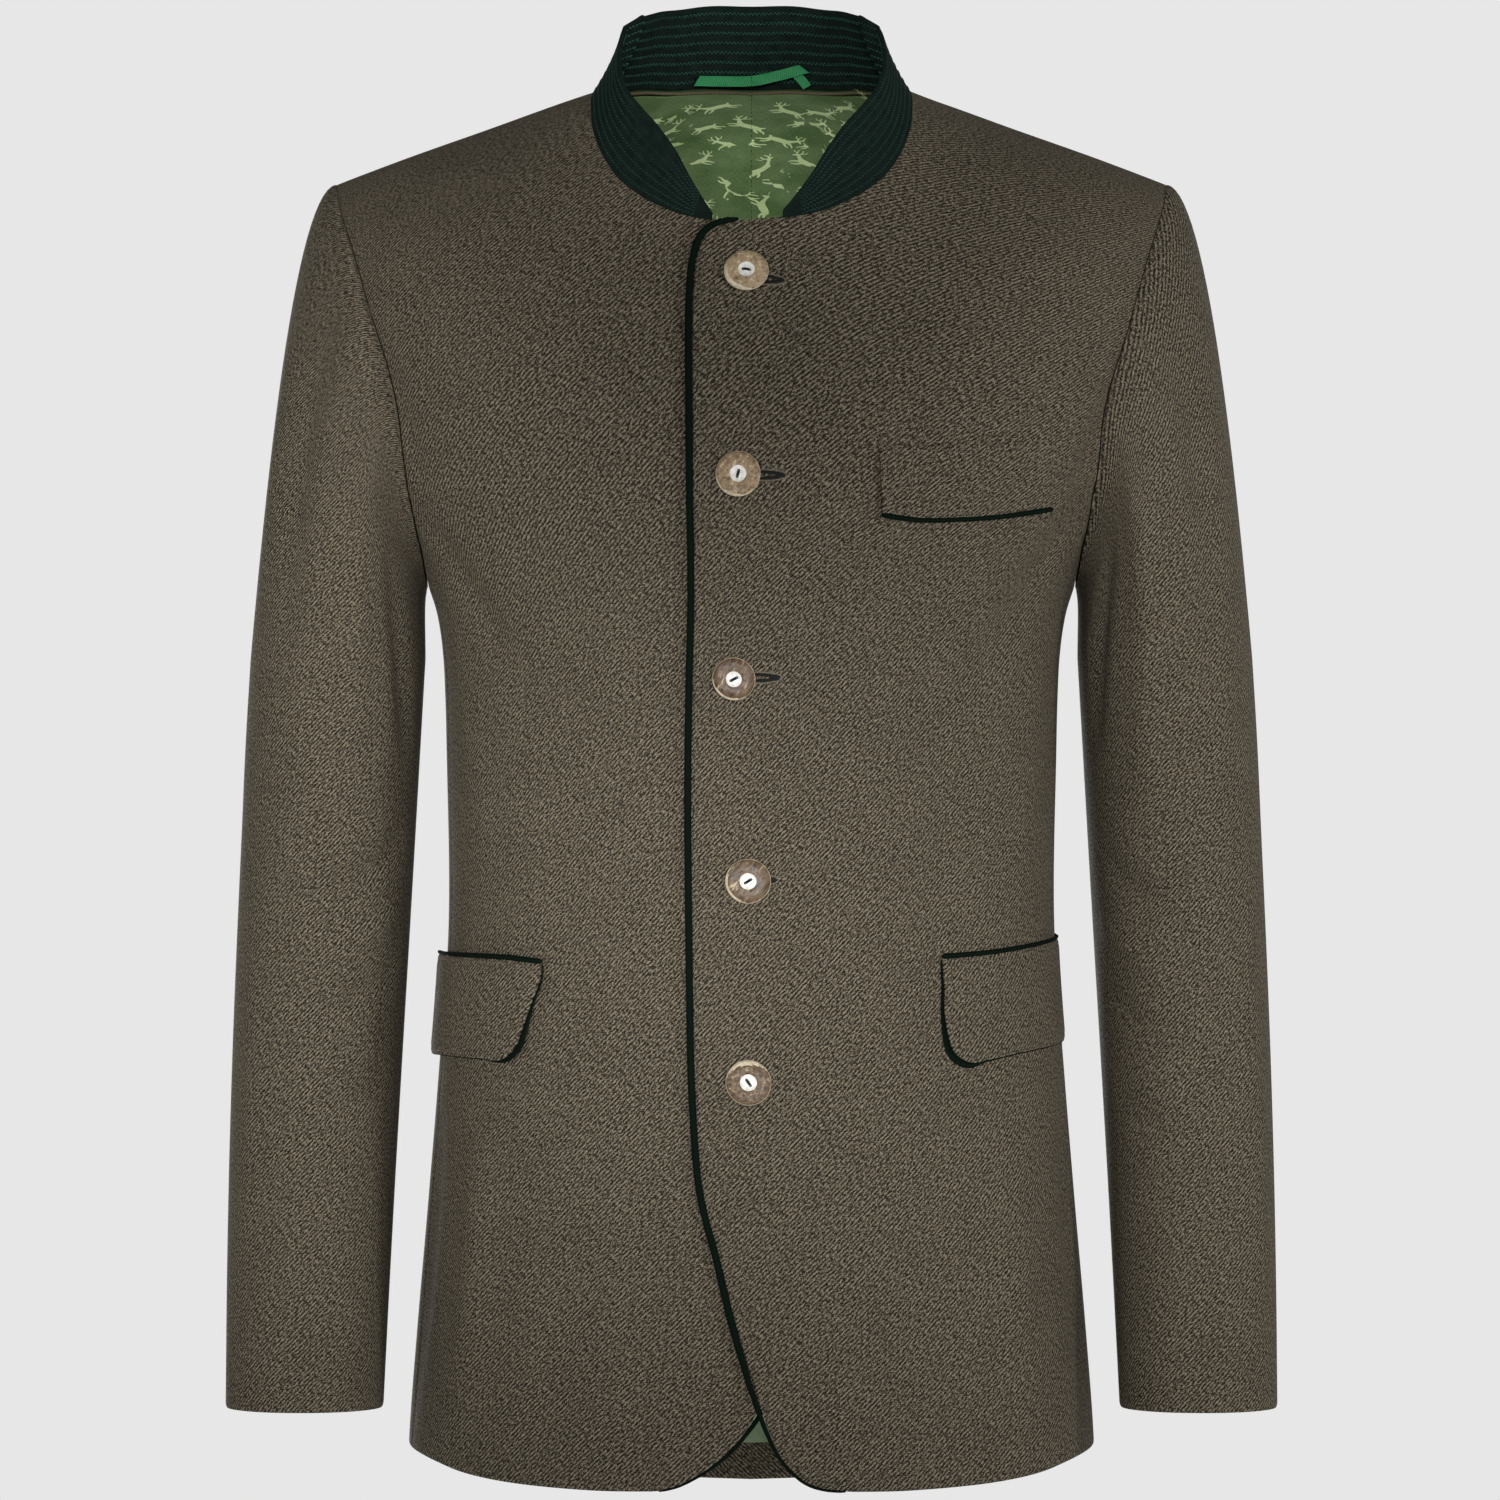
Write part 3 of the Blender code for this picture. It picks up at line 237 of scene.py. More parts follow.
# Folds of the lining, in the same way
LINING_FOLDS = (
    (172.7, -6, 172.2, -20, 172.9, -36, 2.6, -4.2), (174.8, -2, 174.2, -22, 175.2, -48, 3.6, 1.6),
    (179.2, -10, 179.5, -36, 178.7, -76, 3.8, -3), (176.8, -18, 177.1, -48, 176.2, -80, 6, 1.6),
    (183.8, -12, 183.2, -46, 184.4, -84, 5, -2.2), (186.8, 2, 186.1, -30, 187.4, -62, 4.6, 1.5),
    (169.5, 0, 170.2, -26, 168.8, -60, 5, -2.6), (190.6, -6, 190, -38, 191.2, -90, 6.5, -2),
    (163, -8, 163.5, -44, 162, -110, 7, -2.4), (202, 2, 201, -34, 203, -88, 7, -2),
    (140, -120, 142, -330, 139, -600, 9, -3), (165, -160, 163, -400, 166, -700, 10, -2.6),
    (196, -150, 198, -380, 195, -690, 9, -2.8), (218, -110, 216, -300, 220, -590, 10, -3),
)

# Folds of the sleeves: angle in degrees (0 outside, 90 in front) and height in mm
SLEEVE_FOLDS_LEFT = (
    (62, -120, 58, -210, 66, -330, 12, -2.9), (110, -180, 104, -270, 112, -372, 10, 3.1),
    (128, -232, 140, -290, 150, -352, 8, -3.8), (30, -80, 34, -170, 28, -270, 14, 1),
    (150, -402, 122, -424, 92, -430, 8, -4.2), (158, -440, 128, -452, 100, -470, 8, 3.4),
    (154, -474, 124, -492, 90, -496, 8, -3.9), (148, -530, 118, -548, 84, -566, 9, -2.5),
    (96, -600, 88, -650, 94, -690, 11, -2.1), (40, -420, 44, -520, 38, -640, 16, 2),
    (210, -398, 238, -412, 268, -404, 9, -4.8), (214, -440, 244, -446, 276, -452, 8, 3.9),
    (212, -470, 246, -486, 282, -480, 9, -5), (222, -528, 252, -540, 286, -546, 10, -3.1),
    (262, -150, 268, -236, 260, -330, 12, -4.2), (302, -130, 306, -240, 300, -350, 13, 3.1),
    (250, -590, 256, -640, 250, -688, 10, -2.9),
)
SLEEVE_FOLDS_RIGHT = (
    (58, -112, 54, -200, 62, -318, 11, -3.1), (106, -176, 102, -262, 108, -360, 11, 2.9),
    (126, -240, 138, -302, 152, -360, 8, -3.5), (28, -90, 30, -182, 26, -286, 14, 2.5),
    (152, -394, 124, -412, 96, -424, 8, -3.8), (156, -428, 126, -446, 98, -456, 8, 3.1),
    (152, -468, 120, -478, 88, -492, 8, -4.2), (146, -520, 116, -538, 82, -548, 10, -2.8),
    (98, -594, 92, -640, 96, -688, 11, -2.4), (44, -410, 46, -508, 40, -628, 15, 2.1),
    (208, -390, 240, -400, 270, -398, 9, -4.5), (216, -428, 246, -440, 278, -438, 8, 4.2),
    (210, -462, 242, -474, 280, -478, 9, -4.6), (224, -516, 254, -534, 288, -532, 11, -3.4),
    (264, -144, 270, -228, 262, -322, 11, -3.9), (300, -138, 304, -250, 298, -362, 13, 2.9),
    (252, -584, 258, -632, 252, -684, 10, -2.8),
)


# Curves and flat shapes


def unit(vectors: Points) -> Points:
    """Gives vectors the length one."""
    return vectors / np.maximum(np.linalg.norm(vectors, axis=-1, keepdims=True), 1e-12)


def smooth(rows: Rows | Points, at: Points | float, column: int = 1) -> Points:
    """Reads one column of a table along a smooth curve through its rows.

    Args:
        rows: the table, whose first column holds the keys.
        at: where to read it.
        column: the column that is read.

    Returns:
        The values there.
    """
    table = np.array(rows, dtype=float)
    table = table[np.argsort(table[:, 0], kind="stable")]
    keys = table[:, 0]
    values = table[:, column]
    slopes = np.gradient(values, keys)
    at = np.asarray(at, dtype=float)
    i = np.clip(np.searchsorted(keys, at, side="right") - 1, 0, len(keys) - 2)
    span = keys[i + 1] - keys[i]
    u = np.clip((at - keys[i]) / span, 0.0, 1.0)
    start = (1 + 2 * u) * (1 - u) ** 2 * values[i]
    leave = u * (1 - u) ** 2 * span * slopes[i]
    end = u * u * (3 - 2 * u) * values[i + 1]
    arrive = u * u * (u - 1) * span * slopes[i + 1]
    return start + leave + end + arrive


def lengths_of(line: Points) -> Points:
    """How far along a line each of its points is."""
    steps = np.linalg.norm(np.diff(line, axis=0), axis=1)
    return np.concatenate([[0.0], np.cumsum(steps)])


def read_along(values: Points, lengths: Points, at: Points) -> Points:
    """Reads rows of values, given at some lengths along a line, at other ones."""
    return np.stack([np.interp(at, lengths, column) for column in values.T], axis=1)


def resample(line: Points, at: Points) -> Points:
    """Points at some distances along a line."""
    return read_along(line, lengths_of(line), at)


def evened(line: Points, step: float) -> Points:
    """A line with even steps between its points."""
    length = lengths_of(line)[-1]
    return resample(line, np.linspace(0, length, int(length / step) + 1))


def through(points: Rows | Points, step: float) -> Points:
    """A smooth line through some points, with about this step between its points.

    Args:
        points: the points, in order.
        step: the step between the line's points.

    Returns:
        The line's points.
    """
    points = np.array(points, dtype=float)
    keys = lengths_of(points)
    fine = np.linspace(0.0, keys[-1], 60 * len(points))
    columns = [np.stack([keys, values], axis=1) for values in points.T]
    line = np.stack([smooth(column, fine) for column in columns], axis=1)
    length = lengths_of(line)[-1]
    return resample(line, np.linspace(0.0, length, max(2, int(round(length / step)) + 1)))


def straight(start: Sequence[float], end: Sequence[float], step: float) -> Points:
    """A straight line with about this step between its points."""
    parts = np.linspace(0.0, 1.0, max(2, round(math.dist(start, end) / step) + 1))[:, None]
    return np.array(start) * (1 - parts) + np.array(end) * parts


def nearest(points: Points, line: Points, closed: bool = False) -> tuple[Points, Points]:
    """Distance of points from a line, and how far along it their nearest places are.

    Args:
        points: the points.
        line: the line's points.
        closed: whether its last point joins its first one.

    Returns:
        The distances, and the places from 0 at its start to 1 at its end.
    """
    best = np.full(len(points), 1e9)
    share = np.zeros(len(points))
    ends = np.roll(line, -1, axis=0)
    count = len(line) if closed else len(line) - 1
    for k in range(count):
        side = ends[k] - line[k]
        length = max(float(np.dot(side, side)), 1e-18)
        u = np.clip(((points - line[k]) @ side) / length, 0, 1)
        gap = np.linalg.norm(points - (line[k] + u[:, None] * side), axis=1)
        closer = gap < best
        best[closer] = gap[closer]
        share[closer] = (k + u[closer]) / count
    return best, share


def inset(outline: Points, distances: Points | float) -> Points:
    """Moves every side of an outline inwards by its own distance.

    Args:
        outline: the outline's points, anticlockwise.
        distances: one for all sides, or one for each.

    Returns:
        The moved outline.
    """
    distances = np.full(len(outline), 1.0) * distances
    result = []
    count = len(outline)
    for i in range(count):
        before = unit(outline[i] - outline[i - 1])
        after = unit(outline[(i + 1) % count] - outline[i])
        n1 = np.array([-before[1], before[0]])
        n2 = np.array([-after[1], after[0]])
        turn = before[0] * after[1] - before[1] * after[0]
        if abs(turn) < 0.45:
            result.append(outline[i] + (n1 * distances[i - 1] + n2 * distances[i]) / 2)
        else:
            reach = np.dot(n2 * distances[i] - n1 * distances[i - 1], n2) / np.dot(before, n2)
            result.append(outline[i] + n1 * distances[i - 1] + before * reach)
    return np.array(result)


def inside(points: Points, outline: Points) -> Points:
    """Tells which points lie within an outline.

    Args:
        points: the points.
        outline: the outline's points.

    Returns:
        True for each point within it.
    """
    x = points[:, 0]
    y = points[:, 1]
    result = np.zeros(len(points), dtype=bool)
    for (x1, y1), (x2, y2) in zip(outline, np.roll(outline, -1, axis=0)):
        rise = y2 - y1 if abs(y2 - y1) > 1e-12 else 1e-12
        result ^= ((y1 > y) != (y2 > y)) & (x < (x2 - x1) * (y - y1) / rise + x1)
    return result


def side_sign(mirrored: bool) -> Points:
    """Factors that turn flat places over to the right side, or leave them."""
    return np.array([-1.0 if mirrored else 1.0, 1.0])


def even_grid(outline: Points, step: float) -> Points:
    """A grid of staggered rows over the box of an outline.

    Args:
        outline: the outline's points.
        step: the step of the grid.

    Returns:
        Its points, also those outside of the outline.
    """
    low = outline.min(axis=0)
    high = outline.max(axis=0)
    rows = []
    for row, w in enumerate(np.arange(low[1] + step / 2, high[1], step * ROW_SHARE)):
        across = np.arange(low[0] + step * (0.25 + 0.5 * (row % 2)), high[0], step)
        rows.append(np.stack([across, np.full(len(across), w)], axis=1))
    return np.concatenate(rows)


def triangles(outline: Points, *others: Points) -> tuple[Points, list]:
    """Joins an outline and points within it to triangles.

    Args:
        outline: the outline's points.
        others: rows of points within it.

    Returns:
        The points, the outline's first, and the triangles.
    """
    points = [Vector(p) for p in np.concatenate([outline, *others])]
    found = geometry.delaunay_2d_cdt(points, [], [list(range(len(outline)))], 1, 1e-9)
    return np.array([tuple(v) for v in found[0]]), [tuple(f) for f in found[2]]


def fill(
    outline: Points, step: float, edge: float, extra: Points | None = None
) -> tuple[Points, list]:
    """Fills an outline with an even grid, and with closer rows along its edge.

    Args:
        outline: the outline's points, anticlockwise.
        step: the step of the grid.
        edge: how far in the first of two rows along the edge lies.
        extra: further points that are kept.

    Returns:
        The points, the outline's first, and the triangles.
    """
    parts = []
    for depth in (edge, 2.8 * edge):
        row = inset(outline, depth)
        gap, _ = nearest(row, outline, closed=True)
        parts.append(row[(gap > 0.93 * depth) & inside(row, outline)])
    grid = even_grid(outline, step)
    grid = grid[inside(grid, outline)]
    gap, _ = nearest(grid, outline, closed=True)
    grid = grid[gap > 2.8 * edge + 0.55 * step]
    if extra is not None:
        gap, _ = nearest(grid, extra[: len(extra) // 3])
        grid = grid[gap > 0.8 * step]
        parts.append(extra)
    return triangles(outline, *parts, grid)


def fold_relief(places: Points, folds: Points) -> Points:
    """Height of some soft folds at places on the cloth.

    Args:
        places: places on the cloth, in mm.
        folds: rows of start, middle, end, half width and height, in mm.

    Returns:
        The height at each place, in metres.
    """
    relief = np.zeros(len(places))
    parts = np.linspace(0.0, 1.0, 9)[:, None]
    for row in folds:
        start, middle, end = row[0:2], row[2:4], row[4:6]
        bend = 2 * middle - (start + end) / 2
        path = start * (1 - parts) ** 2 + 2 * bend * parts * (1 - parts) + end * parts ** 2
        reach = 3.0 * row[6]
        near = np.all(places > path.min(axis=0) - reach, axis=1)
        near &= np.all(places < path.max(axis=0) + reach, axis=1)
        if not near.any():
            continue
        gap, share = nearest(places[near], path)
        x = gap / row[6]
        fade = np.clip(4 * share * (1 - share), 0, 1) ** 0.8
        relief[near] += row[7] * fade * np.exp(-x * x) * (1 - 0.4 * x * x)
    return relief / 1000


# The worn form


@dataclass(frozen=True)
class BodyForm:
    """The worn shape of the body, and the cloth that is unrolled from it.

    A place on it is an angle t from the front centre and a way up w. The flat
    cloth has the same place at u = t * radius. Left is positive.
    """

    square: float = 2.3
    ridge_y: float = 0.010
    arm_level: float = -0.220
    rise: float = 0.330
    radius: float = 0.155
    lift_height: float = 0.0032
    lift_full_x: float = 0.050
    lift_end_x: float = 0.100

    def half_width(self, z: Points) -> Points:
        """Half width of the body at a height."""
        return smooth(BODY, z * 1000, 1) / 1000

    def point(self, t: Points, w: Points) -> Points:
        """Points of the form.

        Args:
            t: angles from the front centre.
            w: ways up the cloth.

        Returns:
            The points in space.
        """
        t, w = np.broadcast_arrays(np.asarray(t, dtype=float), np.asarray(w, dtype=float))
        front = np.cos(t) >= 0
        side = np.abs(np.sin(t)) ** (2 / self.square)
        deep = np.abs(np.cos(t)) ** (2 / self.square)
        s = np.sin(np.clip(w, 0, self.rise) / self.rise * math.pi / 2)
        z = self.arm_level + np.minimum(w, 0) + 0.5 * np.maximum(w, 0)
        for _ in range(16):
            x = self.half_width(z) * side
            top = np.where(front, smooth(RIDGE, x * 1000, 1), smooth(RIDGE, x * 1000, 2)) / 1000
            z = self.arm_level + np.where(w > 0, s * (top - self.arm_level), w)
        power = np.where(front, smooth(CLOSING, x * 1000, 1), smooth(CLOSING, x * 1000, 2))
        closing = np.maximum(1 - s ** power, 0) ** (1 / power)
        depth = np.where(front, smooth(BODY, z * 1000, 2), smooth(BODY, z * 1000, 3)) / 1000
        y = self.ridge_y + np.where(front, -1, 1) * depth * deep * closing
        return np.stack([np.sign(np.sin(t)) * x, y, z], axis=-1)

    def normal(self, t: Points, w: Points) -> Points:
        """Directions that point out of the form, level along the shoulder ridge.

        Args:
            t: angles from the front centre.
            w: ways up the cloth.

        Returns:
            The directions, of length one.
        """
        step = 0.0006
        t = np.asarray(t, dtype=float)
        w = np.minimum(np.asarray(w, dtype=float), self.rise)
        under = np.minimum(w, self.rise - 0.002)
        along = self.point(t + step * 4, under) - self.point(t - step * 4, under)
        up = self.point(t, under + step) - self.point(t, under - step)
        normal = unit(np.cross(along, up))
        normal[..., 1] *= np.clip((self.rise - w - 0.0003) / 0.006, 0, 1)
        return unit(normal)

    @cached_property
    def girth(self) -> tuple[Points, Points]:
        """Angles, and the width of the cloth from the front centre to them."""
        t = np.linspace(0.0, math.pi, 721)
        return t, lengths_of(self.point(t, np.full(721, -0.20)))

    def width(self, t: Points) -> Points:
        """Width of the cloth from the front centre to an angle.

        Args:
            t: the angles.

        Returns:
            The widths, negative on the right.
        """
        angles, widths = self.girth
        turn = np.abs(t)
        near = np.interp(np.minimum(turn, math.pi), angles, widths)
        far = 2 * widths[-1] - np.interp(2 * math.pi - turn, angles, widths)
        return np.sign(t) * np.where(turn > math.pi, far, near)

    def fold_rows(self, folds: Rows) -> Points:
        """Turns folds given by angle and height into rows of mm on the cloth.

        Args:
            folds: rows of a table of folds.

        Returns:
            The rows in mm.
        """
        rows = np.array(folds, dtype=float)
        for k in (0, 2, 4):
            t, w = self.place_at(np.radians(rows[:, k]), rows[:, k + 1] / 1000)
            rows[:, k] = self.width(t) * 1000
            rows[:, k + 1] = w * 1000
        return rows

    @cached_property
    def folds(self) -> Points:
        """The folds of the body cloth."""
        return self.fold_rows(BODY_FOLDS)

    def relief(self, t: Points, w: Points) -> Points:
        """Height of the body's folds."""
        t = np.where(t > math.pi, t - 2 * math.pi, t)
        return fold_relief(np.stack([self.width(t), w], axis=-1) * 1000, self.folds)

    def cloth(self, flat: Points, offset: Points | float = 0.0) -> Points:
        """Points of the folded cloth at some distance out of it, for flat places.

        Args:
            flat: the flat places.
            offset: the distance out of it.

        Returns:
            The points in space.
        """
        t = flat[:, 0] / self.radius
        w = np.minimum(flat[:, 1], self.rise)
        out = np.full(len(flat), 1.0) * offset + self.relief(t, w)
        return self.point(t, w) + self.normal(t, w) * out[:, None]

    def out(self, flat: Points) -> Points:
        """Directions out of the cloth for flat places."""
        return self.normal(flat[:, 0] / self.radius, flat[:, 1])

    def weave(self, flat: Points) -> Points:
        """Places on the woven cloth, in metres, for flat places."""
        return np.stack([self.width(flat[:, 0] / self.radius), flat[:, 1]], axis=1)

    def place(self, x: Points, z: Points, back: bool = False) -> tuple[Points, Points]:
        """Angle and way up of the place of the form that has this x and z.

        Args:
            x: distance from the middle.
            z: the height.
            back: whether it is on the back.

        Returns:
            The angle and the way up.
        """
        x = np.asarray(x, dtype=float)
        z = np.asarray(z, dtype=float)
        ratio = np.clip(np.abs(x) / self.half_width(z), 0, 1)
        t = np.sign(x) * np.arcsin(ratio ** (self.square / 2))
        top = smooth(RIDGE, np.abs(x) * 1000, 2 if back else 1) / 1000
        s = np.clip((z - self.arm_level) / (top - self.arm_level), 0, 1)
        rise = np.arcsin(s) * 2 / math.pi * self.rise
        w = np.where(z > self.arm_level, rise, z - self.arm_level)
        return (math.pi - t if back else t), w

    def place_at(self, t: Points, z: Points) -> tuple[Points, Points]:
        """Angle and way up of the place that has this angle and height.

        Args:
            t: the angle.
            z: the height.

        Returns:
            The same angle, and the way up.
        """
        back = np.cos(t) < 0
        x = self.half_width(z) * np.abs(np.sin(t)) ** (2 / self.square)
        _, front_w = self.place(x, z)
        _, back_w = self.place(x, z, back=True)
        return t, np.where(back, back_w, front_w)

    def flat(self, rows: Rows, back: bool = False) -> Points:
        """Flat places for rows of x and z in mm."""
        t, w = self.place(*np.array(rows, dtype=float).T / 1000, back)
        return np.stack([t * self.radius, w], axis=1)

    def flat_at_angles(self, rows: Rows) -> Points:
        """Flat places for rows of degrees and height in mm.

        Args:
            rows: the rows.

        Returns:
            The flat places.
        """
        table = np.array(rows, dtype=float)
        t = np.radians(table[:, 0])
        x = self.half_width(table[:, 1] / 1000) * np.abs(np.sin(t)) ** (2 / self.square)
        _, w = self.place(x, table[:, 1] / 1000)
        return np.stack([t * self.radius, w], axis=1)

    def lift(self, flat: Points) -> Points:
        """How far the left front is lifted over the right one.

        Args:
            flat: flat places.

        Returns:
            The lift at each, in metres.
        """
        x = self.point(flat[:, 0] / self.radius, flat[:, 1])[:, 0]
        u = np.clip((self.lift_end_x - x) / (self.lift_end_x - self.lift_full_x), 0, 1)
        return self.lift_height * u * u * (3 - 2 * u)


def no_lift(flat: Points) -> Points:
    """The base of a piece that lies right on the form."""
    return np.zeros(len(flat))


FORM = BodyForm()


# Finishes


class Nodes:
    """A short way to lay out the nodes of one material."""

    def __init__(self, name: str, **sockets: float | Colour) -> None:
        """Starts a material.

        Args:
            name: the material's name.
            sockets: constants of its shader, with _ for a space in a socket's name.
        """
        self.material = bpy.data.materials.new(name)
        self.material.use_nodes = True
        self.tree = self.material.node_tree
        self.shader = self.tree.nodes["Principled BSDF"]
        for socket, value in sockets.items():
            self.put(self.shader.inputs[socket.replace("_", " ")], value)

    def put(self, socket: Socket, value: object) -> None:
        """Links a socket to another one, or sets its constant.

        Args:
            socket: the socket that is filled.
            value: another socket, a number or a colour.
        """
        if isinstance(value, Socket):
            self.tree.links.new(value, socket)
        elif socket.type == "RGBA":
            socket.default_value = (*value, 1.0)
        else:
            socket.default_value = value

    def add(self, kind: str, inputs: dict, **settings: object) -> bpy.types.Node:
        """Adds a node.

        Args:
            kind: its type, without the leading ShaderNode.
            inputs: values or sockets by the input's name or number.
            settings: the node's own settings.

        Returns:
            The node.
        """
        node = self.tree.nodes.new("ShaderNode" + kind)
        for key, value in settings.items():
            setattr(node, key, value)
        for key, value in inputs.items():
            self.put(node.inputs[key], value)
        return node

    def cut(self) -> Socket:
        """Places on the woven cloth, in metres."""
        return self.add("UVMap", {}, uv_map="cut").outputs[0]

    def room(self) -> Socket:
        """Places in the object's own space, in metres."""
        return self.add("TexCoord", {}).outputs["Object"]

    def math(self, operation: str, *values: object) -> Socket:
        """The result of some arithmetic."""
        return self.add("Math", dict(enumerate(values)), operation=operation).outputs[0]

    def dot(self, vector: object, other: tuple) -> Socket:
        """How far a place lies along a direction."""
        node = self.add("VectorMath", {0: vector, 1: other}, operation="DOT_PRODUCT")
        return node.outputs["Value"]

    def grain(self, x: object, y: object, z: object = 0.0) -> Socket:
        """A place made of its parts."""
        return self.add("CombineXYZ", {0: x, 1: y, 2: z}).outputs[0]

    def noise(
        self, vector: object, scale: float, detail: float = 2.0, rough: float = 0.55
    ) -> Socket:
        """Soft random tones from 0 to 1."""
        inputs = {"Vector": vector, "Scale": scale, "Detail": detail, "Roughness": rough}
        return self.add("TexNoise", inputs).outputs[0]

    def ramp(self, value: object, stops: Sequence[tuple[float, Colour]]) -> Socket:
        """Colours for a tone, through some stops.

        Args:
            value: the tone.
            stops: place and colour of each stop.

        Returns:
            The colours.
        """
        node = self.add("ValToRGB", {0: value})
        band = node.color_ramp.elements
        while len(band) < len(stops):
            band.new(0.5)
        for element, (place, colour) in zip(band, stops):
            element.position = place
            element.color = (*colour, 1.0)
        return node.outputs[0]

    def finish(self, colour: object, height: object, relief: float, strength: float) -> Material:
        """Sets the colour and the relief, and gives the material.

        Args:
            colour: the base colour.
            height: tones of the relief.
            relief: its depth in metres.
            strength: how strongly it tilts the light.

        Returns:
            The finished material.
        """
        inputs = {"Strength": strength, "Distance": relief, "Height": height}
        bump = self.add("Bump", inputs)
        self.put(self.shader.inputs["Base Color"], colour)
        self.put(self.shader.inputs["Normal"], bump.outputs[0])
        return self.material


@dataclass(frozen=True)
class Twill:
    """Heathered wool twill with a soft nap."""

    dark: Colour = (0.0115, 0.0090, 0.0064)
    middle: Colour = (0.0515, 0.0425, 0.0290)
    light: Colour = (0.2240, 0.1910, 0.1370)
    rib: float = 0.00170
    slope: float = 47.0

    def make(self) -> Material:
        """Makes the material.

        Returns:
            The wool twill.
        """
        n = Nodes("wool_twill", Roughness=0.88, Specular_IOR_Level=0.12, Sheen_Weight=0.05,
                  Sheen_Roughness=0.4, Sheen_Tint=(0.62, 0.54, 0.42))
        cut = n.cut()
        angle = math.radians(self.slope)
        along = n.dot(cut, (math.cos(angle), math.sin(angle), 0.0))
        across = n.dot(cut, (math.sin(angle), -math.cos(angle), 0.0))
        drift = n.math("MULTIPLY", n.noise(cut, 200.0, 2.0), 2.2)
        rib = n.math("SINE", n.math("MULTIPLY_ADD", across, 2 * math.pi / self.rib, drift))
        long = n.math("MULTIPLY", along, 520.0)
        yarn = n.noise(n.grain(long, n.math("MULTIPLY", across, 1080.0)), 1.0, 2.0, 0.6)
        fine = n.math("MULTIPLY", along, 1500.0)
        fibre = n.noise(n.grain(fine, n.math("MULTIPLY", across, 2000.0), 3.0), 1.0, 1.0)
        slow = n.math("MULTIPLY", along, 380.0)
        wisp = n.noise(n.grain(slow, n.math("MULTIPLY", across, 900.0), 7.0), 1.0, 1.0)
        patch = n.noise(cut, 40.0, 3.0, 0.6)
        tone = n.math("MULTIPLY_ADD", yarn, 2.6, -2.32)
        tone = n.math("MULTIPLY_ADD", fibre, 2.2, tone)
        tone = n.math("MULTIPLY_ADD", wisp, 0.7, tone)
        tone = n.math("MULTIPLY_ADD", rib, 0.24, tone)
        tone = n.math("MULTIPLY_ADD", patch, 0.14, tone)
        colour = n.ramp(tone, ((0.12, self.dark), (0.50, self.middle), (0.90, self.light)))
        height = n.math("MULTIPLY_ADD", rib, 0.30, n.math("MULTIPLY", yarn, 1.2))
        return n.finish(colour, height, 0.00035, 0.6)


@dataclass(frozen=True)
class Melton:
    """Dense felted wool."""

    dark: Colour = (0.0018, 0.0042, 0.0036)
    light: Colour = (0.0145, 0.0275, 0.0220)

    def make(self) -> Material:
        """Makes the material.

        Returns:
            The felted wool.
        """
        n = Nodes("collar_melton", Roughness=0.95, Specular_IOR_Level=0.05, Sheen_Weight=0.02,
                  Sheen_Roughness=0.5, Sheen_Tint=(0.30, 0.42, 0.36))
        cut = n.cut()
        fibre = n.noise(cut, 1500.0, 2.0, 0.65)
        cloud = n.noise(cut, 160.0, 3.0)
        tone = n.math("MULTIPLY_ADD", cloud, 0.35, n.math("MULTIPLY", fibre, 0.8))
        colour = n.ramp(tone, ((0.40, self.dark), (0.80, self.light)))
        return n.finish(colour, fibre, 0.00025, 0.5)


@dataclass(frozen=True)
class Satin:
    """Smooth woven lining."""

    name: str
    ground: Colour
    bright: Colour
    gloss: float = 0.42

    def make(self) -> Material:
        """Makes the material.

        Returns:
            The satin.
        """
        n = Nodes(self.name, Roughness=self.gloss, Specular_IOR_Level=0.45, Sheen_Weight=0.08,
                  Sheen_Roughness=0.3, Sheen_Tint=(0.8, 0.9, 0.7))
        cut = n.cut()
        thread = n.noise(n.grain(n.math("MULTIPLY", n.dot(cut, (1.0, 0.0, 0.0)), 3400.0),
                                 n.math("MULTIPLY", n.dot(cut, (0.0, 1.0, 0.0)), 500.0)), 1.0, 2.0)
        cloud = n.noise(cut, 60.0, 2.0)
        tone = n.math("MULTIPLY_ADD", cloud, 0.5, n.math("MULTIPLY", thread, 0.5))
        colour = n.ramp(tone, ((0.34, self.ground), (0.68, self.bright)))
        return n.finish(colour, thread, 0.00008, 0.5)


@dataclass(frozen=True)
class Corded:
    """Fine covered cord, thread or ribbon with ribs across its length."""

    name: str
    dark: Colour
    light: Colour
    rib: float = 0.0007
    rough: float = 0.7
    gloss: float = 0.15

    def make(self) -> Material:
        """Makes the material.

        Returns:
            The cord or ribbon.
        """
        n = Nodes(self.name, Roughness=self.rough, Specular_IOR_Level=self.gloss,
                  Sheen_Weight=self.gloss * 0.2, Sheen_Roughness=0.4, Sheen_Tint=(0.5, 0.6, 0.5))
        cut = n.cut()
        drift = n.math("MULTIPLY", n.noise(cut, 500.0), 3.0)
        phase = n.math("MULTIPLY_ADD", n.dot(cut, (1.0, 0.35, 0.0)), 2 * math.pi / self.rib, drift)
        rib = n.math("MULTIPLY_ADD", n.math("SINE", phase), 0.5, 0.5)
        speck = n.noise(cut, 1800.0, 2.0, 0.6)
        tone = n.math("MULTIPLY_ADD", speck, 0.7, n.math("MULTIPLY", rib, 0.3))
        colour = n.ramp(tone, ((0.30, self.dark), (0.78, self.light)))
        return n.finish(colour, rib, 0.00012, 0.5)


